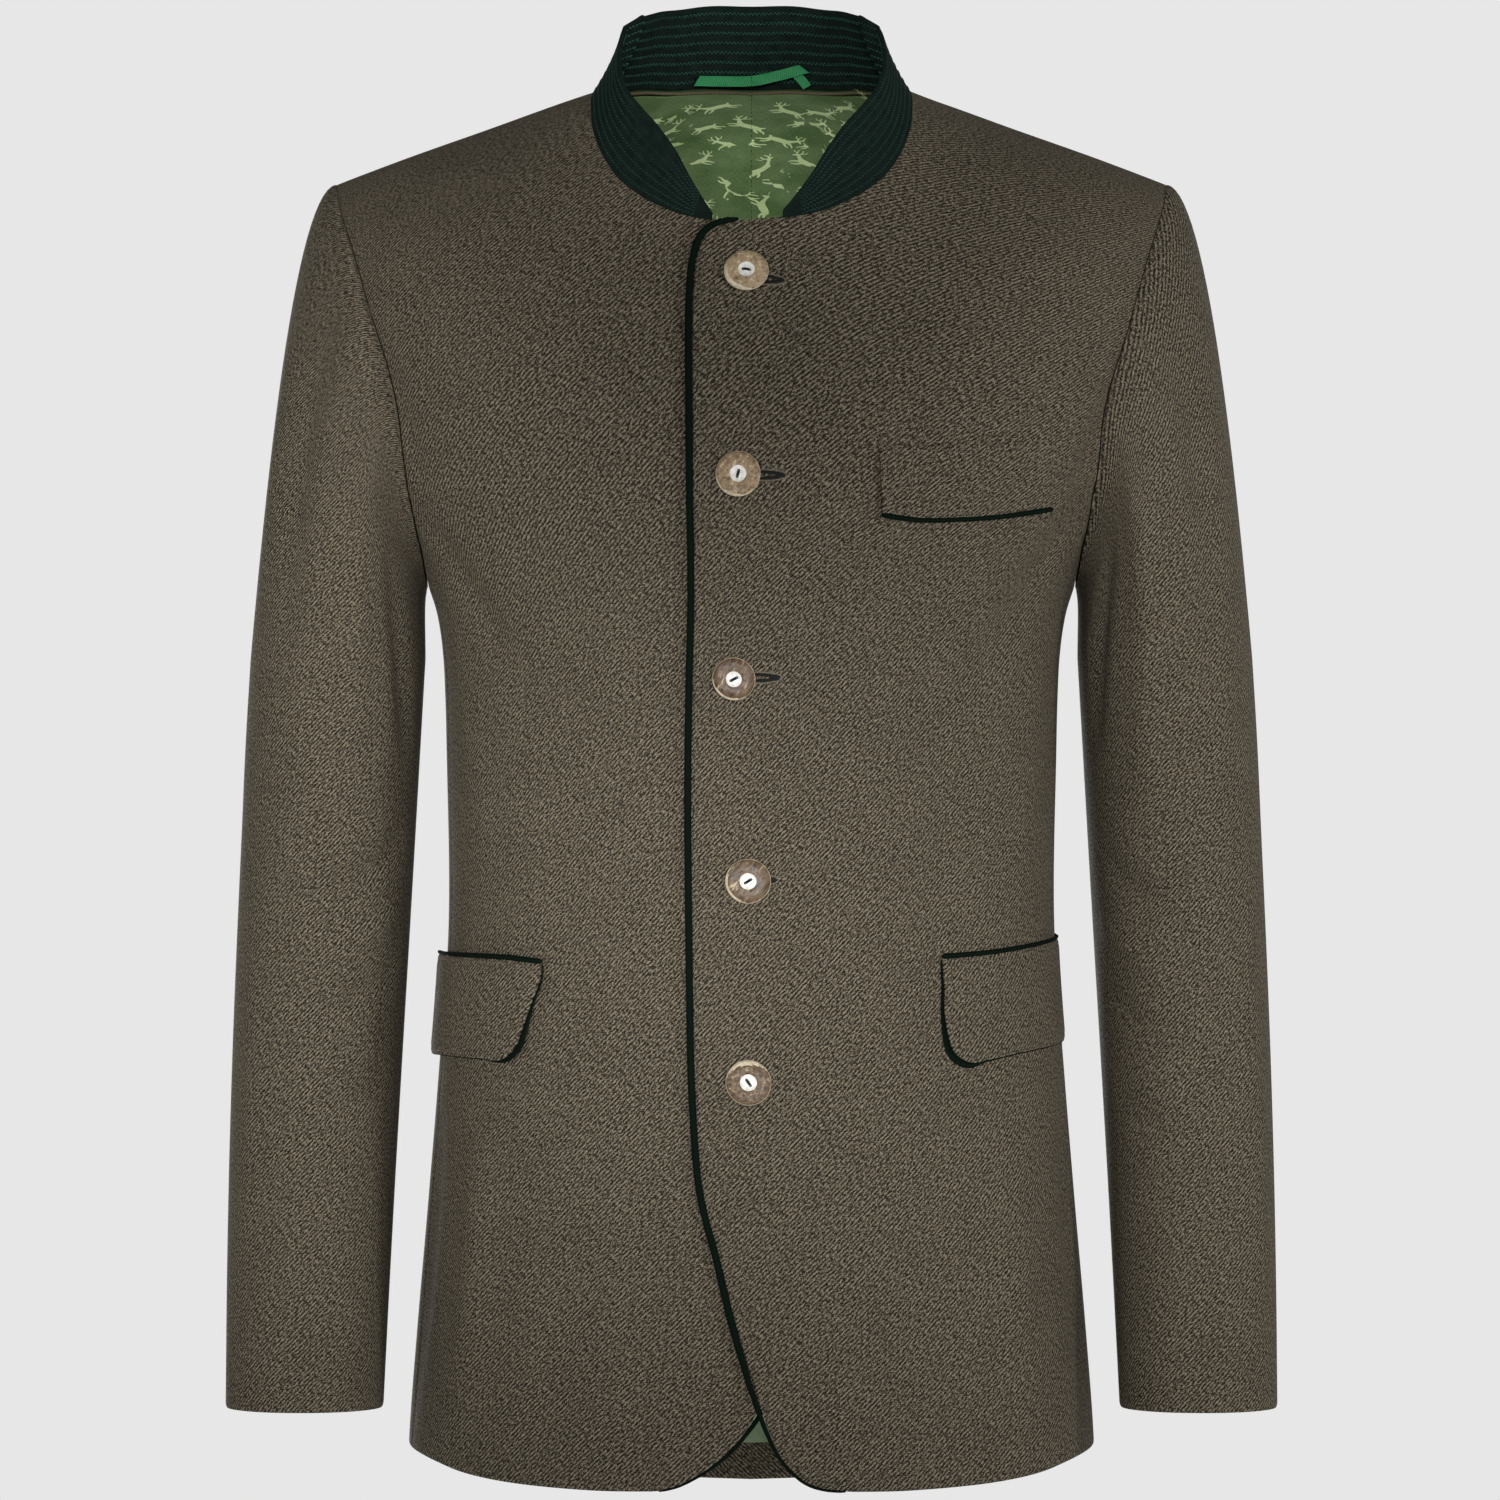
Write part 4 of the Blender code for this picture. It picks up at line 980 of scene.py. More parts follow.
@dataclass(frozen=True)
class Thread:
    """Sewing thread, read in the object's own space."""

    name: str
    dark: Colour
    light: Colour

    def make(self) -> Material:
        """Makes the material.

        Returns:
            The thread.
        """
        n = Nodes(self.name, Roughness=0.6, Specular_IOR_Level=0.3)
        speck = n.noise(n.room(), 2200.0, 2.0)
        colour = n.ramp(speck, ((0.35, self.dark), (0.65, self.light)))
        return n.finish(colour, speck, 0.00006, 0.4)


@dataclass(frozen=True)
class Antler:
    """Mottled antler with streaks along one direction."""

    name: str
    dark: Colour
    middle: Colour
    light: Colour
    streak: float
    turn: float
    shift: float

    def make(self) -> Material:
        """Makes the material.

        Returns:
            The antler.
        """
        n = Nodes(self.name, Roughness=0.42, Specular_IOR_Level=0.45, Coat_Weight=0.15,
                  Coat_Roughness=0.25)
        cut = n.cut()
        angle = math.radians(self.turn)
        along = n.dot(cut, (math.cos(angle), math.sin(angle), 0.0))
        across = n.dot(cut, (-math.sin(angle), math.cos(angle), 0.0))
        slow = n.math("MULTIPLY", along, 330.0 / self.streak)
        place = n.grain(slow, n.math("MULTIPLY", across, 380.0), self.shift)
        mottle = n.noise(place, 1.3, 4.0, 0.62)
        pore = n.noise(place, 4.5, 2.0, 0.6)
        tone = n.math("MULTIPLY_ADD", pore, 0.55, n.math("MULTIPLY_ADD", mottle, 1.35, -0.45))
        stops = ((0.28, self.dark), (0.50, self.middle), (0.62, self.middle), (0.76, self.light))
        return n.finish(n.ramp(tone, stops), tone, 0.0009, 0.8)


@dataclass(frozen=True)
class Bone:
    """Pale smooth horn, of the rims and the middles of the buttons."""

    name: str
    shade: Colour
    pale: Colour

    def make(self) -> Material:
        """Makes the material.

        Returns:
            The pale horn.
        """
        n = Nodes(self.name, Roughness=0.36, Specular_IOR_Level=0.5)
        cloud = n.noise(n.cut(), 380.0, 3.0)
        colour = n.ramp(cloud, ((0.36, self.shade), (0.62, self.pale)))
        return n.finish(colour, cloud, 0.0001, 0.3)


@dataclass
class Wardrobe:
    """Every finish of the jacket, made once."""

    made: dict[str, Material] = field(default_factory=dict)

    def get(self, finish: object) -> Material:
        """The material of a finish.

        Args:
            finish: one of the finishes.

        Returns:
            Its material.
        """
        key = repr(finish)
        if key not in self.made:
            self.made[key] = finish.make()
        return self.made[key]


WARDROBE = Wardrobe()
TWILL = Twill()
MELTON = Melton()
LINING = Satin("lining_satin", (0.070, 0.140, 0.040), (0.225, 0.330, 0.150), 0.34)
PLAIN_LINING = Satin("lining_plain", (0.060, 0.110, 0.040), (0.090, 0.150, 0.060))
FIGURE = Satin("lining_figure", (0.560, 0.740, 0.330), (0.780, 0.920, 0.520), 0.36)
PIPING = Corded("piping_cord", (0.0010, 0.0030, 0.0020), (0.0075, 0.0145, 0.0100), 0.0007, 0.9, 0.03)
RIBBON = Corded("loop_ribbon", (0.008, 0.120, 0.036), (0.030, 0.330, 0.110), 0.0011, 0.5)
BINDING = Corded("neck_binding", (0.040, 0.036, 0.020), (0.190, 0.160, 0.095), 0.0012)
DARK_THREAD = Thread("dark_thread", (0.0015, 0.0030, 0.0024), (0.0080, 0.0120, 0.0095))
GREEN_THREAD = Thread("green_thread", (0.012, 0.075, 0.050), (0.050, 0.210, 0.140))
DEEP_THREAD = Thread("deep_thread", (0.006, 0.030, 0.024), (0.018, 0.075, 0.058))
CLOTH_THREAD = Thread("cloth_thread", (0.075, 0.063, 0.046), (0.210, 0.183, 0.138))
PITH = Bone("button_pith", (0.62, 0.60, 0.55), (0.86, 0.85, 0.81))
RIM = Bone("button_rim", (0.46, 0.38, 0.25), (0.66, 0.58, 0.43))


class Slot(Enum):
    """Names of material slots."""

    CLOTH = "outer_cloth"
    COLLAR = "collar_cloth"
    PIPING = "piping_cord"
    LINING = "lining_cloth"
    LOOP = "loop_ribbon"
    BUTTON = "button_horn"


# Making pieces


@dataclass
class Shape:
    """Points, faces, places on the weave and finish numbers of a piece."""

    points: Points
    faces: list
    weave: Points | None = None
    kinds: list[int] | None = None

    def volume(self) -> float:
        """Its signed volume, which is negative where the faces look inwards.

        Returns:
            The volume in cubic metres.
        """
        corners = [(f[0], f[k], f[k + 1]) for f in self.faces for k in range(1, len(f) - 1)]
        a, b, c = (self.points[index] for index in np.array(corners).T)
        return float(np.sum(a * np.cross(b, c))) / 6


def grid_faces(rows: int, columns: int, closed: bool = False) -> list:
    """Four-sided faces of a grid of points that is stored row by row.

    Args:
        rows: how many rows there are.
        columns: how many points are in each.
        closed: whether each row is a ring.

    Returns:
        The faces.
    """
    faces = []
    for r in range(rows - 1):
        for c in range(columns if closed else columns - 1):
            n = (c + 1) % columns
            low, high = r * columns, (r + 1) * columns
            faces.append((low + c, low + n, high + n, high + c))
    return faces


def shell(outer: Points, inner: Points, faces: list, weave: Points) -> Shape:
    """Closes two equal sheets of points into one thin shell.

    Args:
        outer: points of the outer sheet.
        inner: points of the inner sheet.
        faces: the faces of either sheet.
        weave: their places on the woven cloth.

    Returns:
        The shell, its outer faces and rim of kind 0, its inner ones of kind 1.
    """
    count = len(outer)
    sides = set()
    for face in faces:
        for k in range(len(face)):
            sides.add((face[k], face[(k + 1) % len(face)]))
    rim = [side for side in sorted(sides) if (side[1], side[0]) not in sides]
    closed = list(faces) + [tuple(k + count for k in reversed(face)) for face in faces]
    closed += [(a, a + count, b + count, b) for a, b in rim]
    kinds = [0] * len(faces) + [1] * len(faces) + [0] * len(rim)
    return Shape(np.concatenate([outer, inner]), closed, np.concatenate([weave, weave]), kinds)


def joined(shapes: Sequence[Shape]) -> Shape:
    """Several shapes as one.

    Args:
        shapes: the shapes.

    Returns:
        The whole.
    """
    points, faces, weave, kinds = [], [], [], []
    start = 0
    for shape in shapes:
        points.append(shape.points)
        faces += [tuple(k + start for k in face) for face in shape.faces]
        weave.append(shape.weave if shape.weave is not None else np.zeros((len(shape.points), 2)))
        kinds += shape.kinds or [0] * len(shape.faces)
        start += len(shape.points)
    return Shape(np.concatenate(points), faces, np.concatenate(weave), kinds)


def make_piece(
    name: str, shape: Shape, finishes: Sequence[object], node: str | None = None
) -> Piece:
    """Adds one piece of the jacket, which rides on its body.

    Args:
        name: the piece's name.
        shape: its mesh.
        finishes: its finishes, in the order of the shape's kinds.
        node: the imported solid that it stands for.

    Returns:
        The object.
    """
    faces = shape.faces
    if shape.volume() < 0:
        faces = [tuple(reversed(face)) for face in faces]
    mesh = bpy.data.meshes.new(name)
    mesh.from_pydata([tuple(p) for p in shape.points], [], faces)
    if shape.weave is not None:
        layer = mesh.uv_layers.new(name="cut")
        corners = np.zeros(len(mesh.loops), dtype=np.int32)
        mesh.loops.foreach_get("vertex_index", corners)
        layer.uv.foreach_set("vector", shape.weave[corners].astype(np.float32).ravel())
    for finish in finishes:
        mesh.materials.append(WARDROBE.get(finish))
    if shape.kinds is not None and len(finishes) > 1:
        mesh.polygons.foreach_set("material_index", np.array(shape.kinds, dtype=np.int32))
    mesh.shade_smooth()
    if len(finishes) > 1:
        mesh.set_sharp_from_angle(angle=RIM_ANGLE)
    mesh.update()
    piece = bpy.data.objects.new(name, mesh)
    bpy.context.scene.collection.objects.link(piece)
    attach(piece, "root")
    if node is not None:
        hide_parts(node)
    LOG.info("%s: %d faces", name, len(faces))
    return piece


def threads(starts: Points, ends: Points, out: Points, wide: float, high: float) -> Shape:
    """Short stitches of thread with pointed ends.

    Args:
        starts: where each stitch comes up.
        ends: where it goes down.
        out: the direction out of the cloth at each.
        wide: the thread's width.
        high: its height.

    Returns:
        All stitches as one shape.
    """
    along = ends - starts
    across = unit(np.cross(out, along)) * wide / 2
    up = unit(out) * high / 2
    rings = [starts]
    for part in (0.2, 0.8):
        middle = starts + along * part
        rings += [middle + across, middle + up, middle - across, middle - up]
    rings.append(ends)
    points = np.stack(rings, axis=1).reshape(-1, 3)
    faces = []
    for base in range(0, len(points), 10):
        for k in range(4):
            n = (k + 1) % 4
            faces.append((base, base + 1 + n, base + 1 + k))
            faces.append((base + 1 + k, base + 1 + n, base + 5 + n, base + 5 + k))
            faces.append((base + 9, base + 5 + k, base + 5 + n))
    return Shape(points, faces)


def running_stitch(
    line: Points, out: Points, pitch: float, long: float, wide: float, high: float
) -> Shape:
    """Stitches one after another along a line of places in space.

    Args:
        line: the places.
        out: the directions out of the cloth there.
        pitch: from one stitch to the next.
        long: a stitch's length.
        wide: the thread's width.
        high: its height.

    Returns:
        All stitches as one shape.
    """
    lengths = lengths_of(line)
    at = np.arange(pitch / 2, lengths[-1] - pitch / 2, pitch)
    starts = resample(line, at - long / 2)
    ends = resample(line, at + long / 2)
    return threads(starts, ends, read_along(out, lengths, at), wide, high)


def tube(path: Points, out: Points, wide: float, high: float, sides: int = 10) -> Shape:
    """A cord with capped, rounded ends along a path, flattened along the normals.

    Args:
        path: the cord's middle line.
        out: the directions out of the cloth there.
        wide: half the cord's width.
        high: half its height.
        sides: how many sides it has.

    Returns:
        The cord.
    """
    tangents = unit(np.gradient(path, axis=0))
    across = unit(np.cross(tangents, out))
    up = unit(np.cross(across, tangents))
    lengths = lengths_of(path)
    turns = np.arange(sides) * 2 * math.pi / sides
    taper = np.minimum(np.minimum(lengths, lengths[::-1]) / wide * 1.6 + 0.45, 1.0)
    taper = taper * (1 + 0.035 * np.sin(lengths * 900.0) * np.sin(lengths * 310.0))
    rings = path[:, None] + taper[:, None, None] * (
        wide * np.cos(turns)[None, :, None] * across[:, None]
        + high * np.sin(turns)[None, :, None] * up[:, None])
    faces = grid_faces(len(path), sides, closed=True)
    last = (len(path) - 1) * sides
    faces.append(tuple(reversed(range(sides))))
    faces.append(tuple(last + k for k in range(sides)))
    weave = np.stack([np.repeat(lengths, sides), np.tile(turns * wide, len(path))], axis=1)
    return Shape(rings.reshape(-1, 3), faces, weave)


# The cut of the body


class Edge(Enum):
    """How a stretch of a cut edge is finished."""

    SEWN = "sewn"
    TURNED = "turned"


@dataclass(frozen=True)
class Stretch:
    """One stretch of a piece's outline.

    Its points are flat places, and its edge moves inwards by the inset.
    """

    points: Points
    edge: Edge
    inset: float | Points = 0.0


@dataclass
class Cut:
    """The flat cut of the pieces of the body, for the wearer's left."""

    step: float = 0.0032
    fine_step: float = 0.0008
    edge_step: float = 0.0024
    overlap: float = -0.0001
    cord_cover: float = 0.75

    def hem(self, first: float, last: float) -> Points:
        """The hem between two angles."""
        t = straight((first,), (last,), self.step / FORM.radius)[:, 0]
        return np.stack([t * FORM.radius, smooth(HEM, np.degrees(t)) / 1000 - FORM.arm_level], axis=1)

    def up(self, t: float, low: float, high: float) -> Points:
        """An upright seam at an angle."""
        return straight((t * FORM.radius, low), (t * FORM.radius, high), self.step)

    def sewn(self, points: Points) -> Stretch:
        """A stretch that is sewn to its neighbour."""
        return Stretch(points, Edge.SEWN, self.overlap)

    def shoulder(self, first: float, last: float) -> Points:
        """The shoulder seam between two places."""
        return straight((first, FORM.rise), (last, FORM.rise), self.step)

    @cached_property
    def armhole(self) -> Points:
        """The armhole from the shoulder down the front, under the arm and up the back.

        Returns:
            The line's flat places.
        """
        front = FORM.flat_at_angles(ARMHOLE)[::-1]
        front[0, 1] = FORM.rise
        back = front[::-1].copy()
        back[:, 0] = math.pi * FORM.radius - back[:, 0]
        line = through(np.concatenate([front, back[1:]]), self.fine_step)
        line[0, 1] = FORM.rise
        line[-1, 1] = FORM.rise
        return line

    @cached_property
    def armhole_parts(self) -> tuple[Points, Points, Points]:
        """The armhole on the front, on the side panel and on the back.

        Returns:
            The flat places of the three lines.
        """
        line = self.armhole.copy()
        u = line[:, 0]
        lowest = int(np.argmin(line[:, 1]))
        upper = np.arange(lowest) < lowest // 3
        first = int(np.argmin(np.abs(u[:lowest] - FRONT_SEAM * FORM.radius) + upper))
        last = lowest + int(np.argmax(u[lowest:] >= BACK_SEAM * FORM.radius))
        line[first, 0] = FRONT_SEAM * FORM.radius
        line[last, 0] = BACK_SEAM * FORM.radius
        parts = (line[: first + 1], line[first: last + 1], line[last:])
        return tuple(evened(part, self.step) for part in parts)

    @cached_property
    def neck_front(self) -> Points:
        """Neck seam from its free end to the shoulder seam.

        Returns:
            The line's flat places.
        """
        line = through(FORM.flat(NECK_FRONT), self.step)
        line[-1, 1] = FORM.rise
        return line

    @cached_property
    def neck_back(self) -> Points:
        """Neck seam from the shoulder seam to the centre back.

        Returns:
            The line's flat places.
        """
        line = through(FORM.flat(NECK_BACK, back=True), self.step)
        line[0, 1] = FORM.rise
        line[-1, 0] = math.pi * FORM.radius
        return line

    @cached_property
    def front_edge(self) -> Points:
        """The line of the front edge, from the neck to the hem."""
        return through(FORM.flat(FRONT_EDGE), self.edge_step)

    @cached_property
    def under_edge(self) -> Points:
        """The line of the right front's edge, drawn on the left front's side."""
        return through(FORM.flat(UNDER_EDGE), self.edge_step)

    def front(self, edge: Points) -> list[Stretch]:
        """Outline of a front with a given edge.

        Args:
            edge: the line of the front edge.

        Returns:
            The stretches, anticlockwise.
        """
        armhole, _, _ = self.armhole_parts
        hem = self.hem(edge[-1, 0] / FORM.radius, FRONT_SEAM)
        neck = self.neck_front[::-1]
        return [
            Stretch(hem, Edge.TURNED, 0.0),
            self.sewn(self.up(FRONT_SEAM, hem[-1, 1], armhole[-1, 1])),
            self.sewn(armhole[::-1]),
            self.sewn(self.shoulder(armhole[0, 0], neck[0, 0])),
            self.sewn(neck),
            Stretch(edge, Edge.TURNED, CORD_WIDE * self.cord_cover * hem_share(edge)[:-1]),
        ]

    def side(self) -> list[Stretch]:
        """Outline of the panel under an arm.

        Returns:
            The stretches, anticlockwise.
        """
        _, under, _ = self.armhole_parts
        hem = self.hem(FRONT_SEAM, BACK_SEAM)
        return [
            Stretch(hem, Edge.TURNED, 0.0),
            self.sewn(self.up(BACK_SEAM, hem[-1, 1], under[-1, 1])),
            self.sewn(under[::-1]),
            self.sewn(self.up(FRONT_SEAM, under[0, 1], hem[0, 1])),
        ]

    def back(self) -> list[Stretch]:
        """Outline of a back.

        Returns:
            The stretches, anticlockwise.
        """
        _, _, armhole = self.armhole_parts
        hem = self.hem(BACK_SEAM, math.pi)
        neck = self.neck_back[::-1]
        return [
            Stretch(hem, Edge.TURNED, 0.0),
            self.sewn(self.up(math.pi, hem[-1, 1], neck[0, 1])),
            self.sewn(neck),
            self.sewn(self.shoulder(neck[-1, 0], armhole[-1, 0])),
            self.sewn(armhole[::-1]),
            self.sewn(self.up(BACK_SEAM, armhole[0, 1], hem[0, 1])),
        ]

    def lining(self) -> Points:
        """Outline of the back lining, both halves in one.

        Returns:
            The closed outline's flat places.
        """
        _, _, armhole = self.armhole_parts
        neck = self.neck_back[::-1]
        shoulder = self.shoulder(neck[-1, 0], armhole[-1, 0])
        hem = self.hem(BACK_SEAM, math.pi) + np.array([0.0, LINING_HEM])
        seam = self.up(BACK_SEAM, armhole[0, 1], hem[0, 1])
        left = np.concatenate([neck[:-1], shoulder[:-1], armhole[::-1][:-1], seam[:-1], hem])
        right = left[1:-1][::-1].copy()
        right[:, 0] = 2 * math.pi * FORM.radius - right[:, 0]
        return np.concatenate([left, right])


CUT = Cut()


@dataclass
class Panel:
    """One piece of cloth on the body form."""

    name: str
    node: str
    stretches: list[Stretch]
    flat_size: tuple[float, float]
    flat_area: float
    mirrored: bool = False
    base: Callable[[Points], Points] = no_lift
    step: float = 0.0043
    facing: float = 0.0
    dart: Rows = ()
    dart_step: float = 0.004
    dart_wide: float = 0.0013
    dart_deep: float = 0.0005
    edge_row: float = 0.0009
    seam_wide: float = 0.0016
    seam_deep: float = 0.00045
    roll_wide: float = 0.0008
    roll_deep: float = 0.0007

    def outline(self) -> Points:
        """The closed outline on the flat cloth.

        Returns:
            The outline's flat places.
        """
        points = np.concatenate([stretch.points[:-1] for stretch in self.stretches])
        gaps = [np.full(len(s.points) - 1, 1.0) * s.inset for s in self.stretches]
        return inset(points, np.concatenate(gaps))

    def edge_gap(self, flat: Points, edge: Edge) -> Points:
        """Distance from the stretches that are finished in one way.

        Args:
            flat: flat places of the piece.
            edge: the way.

        Returns:
            The distance of each place.
        """
        gap = np.full(len(flat), 1.0)
        for stretch in self.stretches:
            if stretch.edge is edge:
                count = max(2, len(stretch.points) // 2)
                length = lengths_of(stretch.points)[-1]
                line = resample(stretch.points, np.linspace(0, length, count))
                allowed = max(float(np.mean(stretch.inset)), 0.0)
                gap = np.minimum(gap, np.maximum(nearest(flat, line)[0] - allowed, 0.0))
        return gap

    def dart_points(self) -> Points | None:
        """Rows of points along the dart.

        Returns:
            The flat places, or None without a dart.
        """
        if not self.dart:
            return None
        line = through(FORM.flat(self.dart), self.dart_step)
        side = np.array([self.dart_wide, 0.0])
        return np.concatenate([line, line + side, line - side])

    def shape(self) -> Shape:
        """The piece's mesh.

        Returns:
            The closed wall.
        """
        outline = self.outline()
        flat, faces = fill(outline, self.step, self.edge_row, self.dart_points())
        sewn = self.edge_gap(flat, Edge.SEWN)
        turned = self.edge_gap(flat, Edge.TURNED)
        below_shoulder = np.clip((0.32 - flat[:, 1]) / 0.10, 0.2, 1)
        dip = self.seam_deep * np.exp(-(sewn / self.seam_wide) ** 2) * below_shoulder
        roll = self.roll_deep * np.exp(-(turned / self.roll_wide) ** 2)
        if self.dart:
            gap, share = nearest(flat, through(FORM.flat(self.dart), self.dart_step))
            fade = np.clip(8 * share * (1 - share), 0, 1)
            pull = self.dart_deep * fade * np.exp(-(gap / self.dart_wide) ** 2)
            dip = np.maximum(dip, pull)
        flat = flat * side_sign(self.mirrored)
        base = self.base(flat)
        outer = FORM.cloth(flat, base - np.maximum(dip, roll))
        inner = FORM.cloth(flat, base - WALL + roll)
        result = shell(outer, inner, faces, FORM.weave(flat))
        self.mark_facing(result, faces, turned)
        return result

    def mark_facing(self, shape: Shape, faces: list, turned: Points) -> None:
        """Gives the inner faces near a turned edge the outer cloth.

        Args:
            shape: the piece's mesh.
            faces: the faces of its outer sheet.
            turned: distance of each point from a turned edge.
        """
        count = len(faces)
        for k, face in enumerate(faces):
            if turned[face[0]] < self.facing:
                shape.kinds[count + k] = 0

    def build(self) -> None:
        """Adds the piece."""
        piece = make_piece(self.name, self.shape(), (TWILL, PLAIN_LINING), self.node)


class Body:
    """The fronts, side panels and backs."""

    def build(self) -> None:
        """Adds the six pieces of the body."""
        for side, mirrored in (("left", False), ("right", True)):
            lifted = FORM.lift if side == "left" else no_lift
            dart = DART_LEFT if side == "left" else DART_RIGHT
            edge = CUT.front_edge if side == "left" else CUT.under_edge
            Panel("cloth_front_" + side, "front_" + side, CUT.front(edge), (0.32, 0.75), 0.1765,
                  mirrored, lifted, facing=0.045, dart=dart).build()
            Panel("cloth_side_" + side, "side_" + side, CUT.side(), (0.11, 0.53), 0.0465,
                  mirrored, facing=0.028).build()
            Panel("cloth_back_" + side, "back_" + side, CUT.back(), (0.24, 0.80), 0.1445,
                  mirrored, facing=0.028).build()


# Sleeves


def eased(rows: Rows, at: float, column: int) -> float:
    """Reads a table with soft steps between its rows.

    Args:
        rows: the table, whose first column holds the keys.
        at: where to read it.
        column: the column that is read.

    Returns:
        The value there.
    """
    for low, high in zip(rows, rows[1:]):
        if at <= high[0] + 1e-9:
            u = (at - low[0]) / (high[0] - low[0])
            u = u * u * (3 - 2 * u)
            return low[column] * (1 - u) + high[column] * u
    return rows[-1][column]


@dataclass
class Sleeve:
    """A two-piece sleeve, built for the left and mirrored for the right."""

    side: str
    folds: Rows
    square: float = 2.15
    seams: tuple[float, float] = (200.0, 286.0)
    arc: float = 1.02
    head_end: float = -0.300
    cuff: float = -0.697
    column_step: float = 4.6
    row_step: float = 0.0055
    armhole_off: float = 0.00035
    shoulder_fade: float = 0.030
    seam_deep: float = 0.0005
    roll_deep: float = 0.0007
    facing: float = 0.035

    def section(self, angle: float, z: Points) -> Points:
        """Places of the sleeve at an angle and some heights.

        Args:
            angle: the way round the sleeve.
            z: the heights.

        Returns:
            The points in space.
        """
        z = np.atleast_1d(z)
        outer, inner, middle, deep = (smooth(SLEEVE, z * 1000, k) / 1000 for k in (1, 2, 3, 4))
        c = math.cos(angle)
        s = math.sin(angle)
        across = math.copysign(abs(c) ** (2 / self.square), c)
        x = (outer + inner) / 2 + (outer - inner) / 2 * across
        y = middle - deep * math.copysign(abs(s) ** (2 / self.square), s)
        return np.stack([x, y, z], axis=1)

    def angles(self) -> Points:
        """Angles of the columns, with closer ones beside the seams.

        Returns:
            The angles, in degrees.
        """
        even = np.arange(0.0, 360.0, self.column_step)
        rows = []
        for seam in self.seams:
            even = even[np.abs(even - seam) > 4.4]
            rows += [seam + step for step in (-2.6, -1.0, 0.0, 1.0, 2.6)]
        return np.sort(np.concatenate([even, rows]))

    def starts(self, degrees: Points) -> Points:
        """Places of the armhole for the columns.

        Args:
            degrees: the columns' angles.

        Returns:
            The points in space.
        """
        line = CUT.armhole
        sign = side_sign(self.side == "right")
        points = FORM.cloth(line * sign, self.armhole_off)
        points[:, 0] *= sign[0]
        lowest = int(np.argmin(points[:, 2]))
        lengths = lengths_of(points)
        back = lengths[-1] - lengths[lowest]
        at = np.where(degrees <= 180, degrees / 180 * lengths[lowest],
                      lengths[lowest] + (degrees - 180) / 180 * back)
        return resample(points, at)

    def grid(self) -> tuple[Points, Points, Points]:
        """Places of the sleeve row by row, directions out of it, and its angles.

        Returns:
            The places, the directions and the angles in degrees.
        """
        degrees = self.angles()
        starts = self.starts(degrees)
        leave = unit(np.array([[eased(HEAD, at, k) for k in (1, 2, 3)] for at in degrees]))
        levels = np.concatenate([[0.0, 0.006, 0.014, 0.026], np.linspace(0.045, 1.0, 25)])
        heights = np.arange(self.head_end - self.row_step, self.cuff + 0.004, -self.row_step)
        heights = np.concatenate([heights, [self.cuff + 0.0022, self.cuff + 0.0009, self.cuff]])
        columns = []
        for start, at, way in zip(starts, degrees, leave):
            angle = math.radians(at)
            p1 = start + way * eased(HEAD, at, 4) / 1000
            p3 = self.section(angle, self.head_end)[0]
            p2 = p3 + np.array([eased(HEAD, at, 6), 0.0, eased(HEAD, at, 5)]) / 1000
            u = levels[:, None]
            v = 1 - u
            head = v ** 3 * start + 3 * u * v * v * p1 + 3 * u * u * v * p2 + u ** 3 * p3
            arm = self.section(angle, heights)
            columns.append(np.concatenate([head, arm]))
        grid = np.stack(columns, axis=1)
        around = np.roll(grid, -1, axis=1) - np.roll(grid, 1, axis=1)
        down = np.gradient(grid, axis=0)
        down[0] = leave
        normals = unit(np.cross(around, down))
        if np.sum((grid - grid.mean(axis=1, keepdims=True)) * normals) < 0:
            normals = -normals
        return grid, normals, degrees

    def relief(self, grid: Points, degrees: Points) -> tuple[Points, Points]:
        """How far the outer and the inner side stand off the sleeve's form.

        Args:
            grid: places of the sleeve.
            degrees: the columns' angles.

        Returns:
            The distances of the outer and of the inner side.
        """
        around = np.broadcast_to(degrees * self.arc, grid.shape[:2])
        places = np.stack([around, grid[..., 2] * 1000], axis=-1)
        rows = np.array(self.folds, dtype=float)
        rows[:, [0, 2, 4]] *= self.arc
        steps = np.linalg.norm(np.diff(grid, axis=0), axis=2)
        down = np.concatenate([np.zeros((1, grid.shape[1])), np.cumsum(steps, axis=0)])
        fade = np.clip(down / self.shoulder_fade, 0, 1)
        folds = fold_relief(places.reshape(-1, 2), rows).reshape(grid.shape[:2]) * fade
        over = np.clip(np.cos(np.radians(degrees)) * 1.6 + 0.4, 0, 1)
        dip = 0.00045 * np.exp(-(down / 0.0018) ** 2) * (1 - 0.8 * over)[None, :]
        for seam in self.seams:
            pull = np.exp(-((degrees - seam) * self.arc / 2.0) ** 2)
            dip = np.maximum(dip, self.seam_deep * pull[None, :])
        roll = self.roll_deep * np.exp(-((down[-1:] - down) / 0.0009) ** 2)
        outer = folds - np.maximum(dip, roll)
        return outer, folds - WALL + roll

    def weave(self, grid: Points, degrees: Points, up: Points) -> Points:
        """Places on the woven cloth: the way round from the middle column, and the way up.

        Args:
            grid: places of the sleeve.
            degrees: the columns' angles.
            up: the way up of each place.

        Returns:
            The places on the cloth.
        """
        steps = np.linalg.norm(np.diff(grid, axis=1), axis=2)
        around = np.concatenate([np.zeros((len(grid), 1)), np.cumsum(steps, axis=1)], axis=1)
        middle = len(degrees) // 2
        if 90.0 > degrees.min() and len(degrees) > 40:
            middle = int(np.argmin(np.abs(degrees - 90.0)))
        around = (around - around[:, middle: middle + 1]) * (-1.0 if self.side == "left" else 1.0)
        return np.stack([around + 0.21, up + 0.13], axis=-1).reshape(-1, 2)

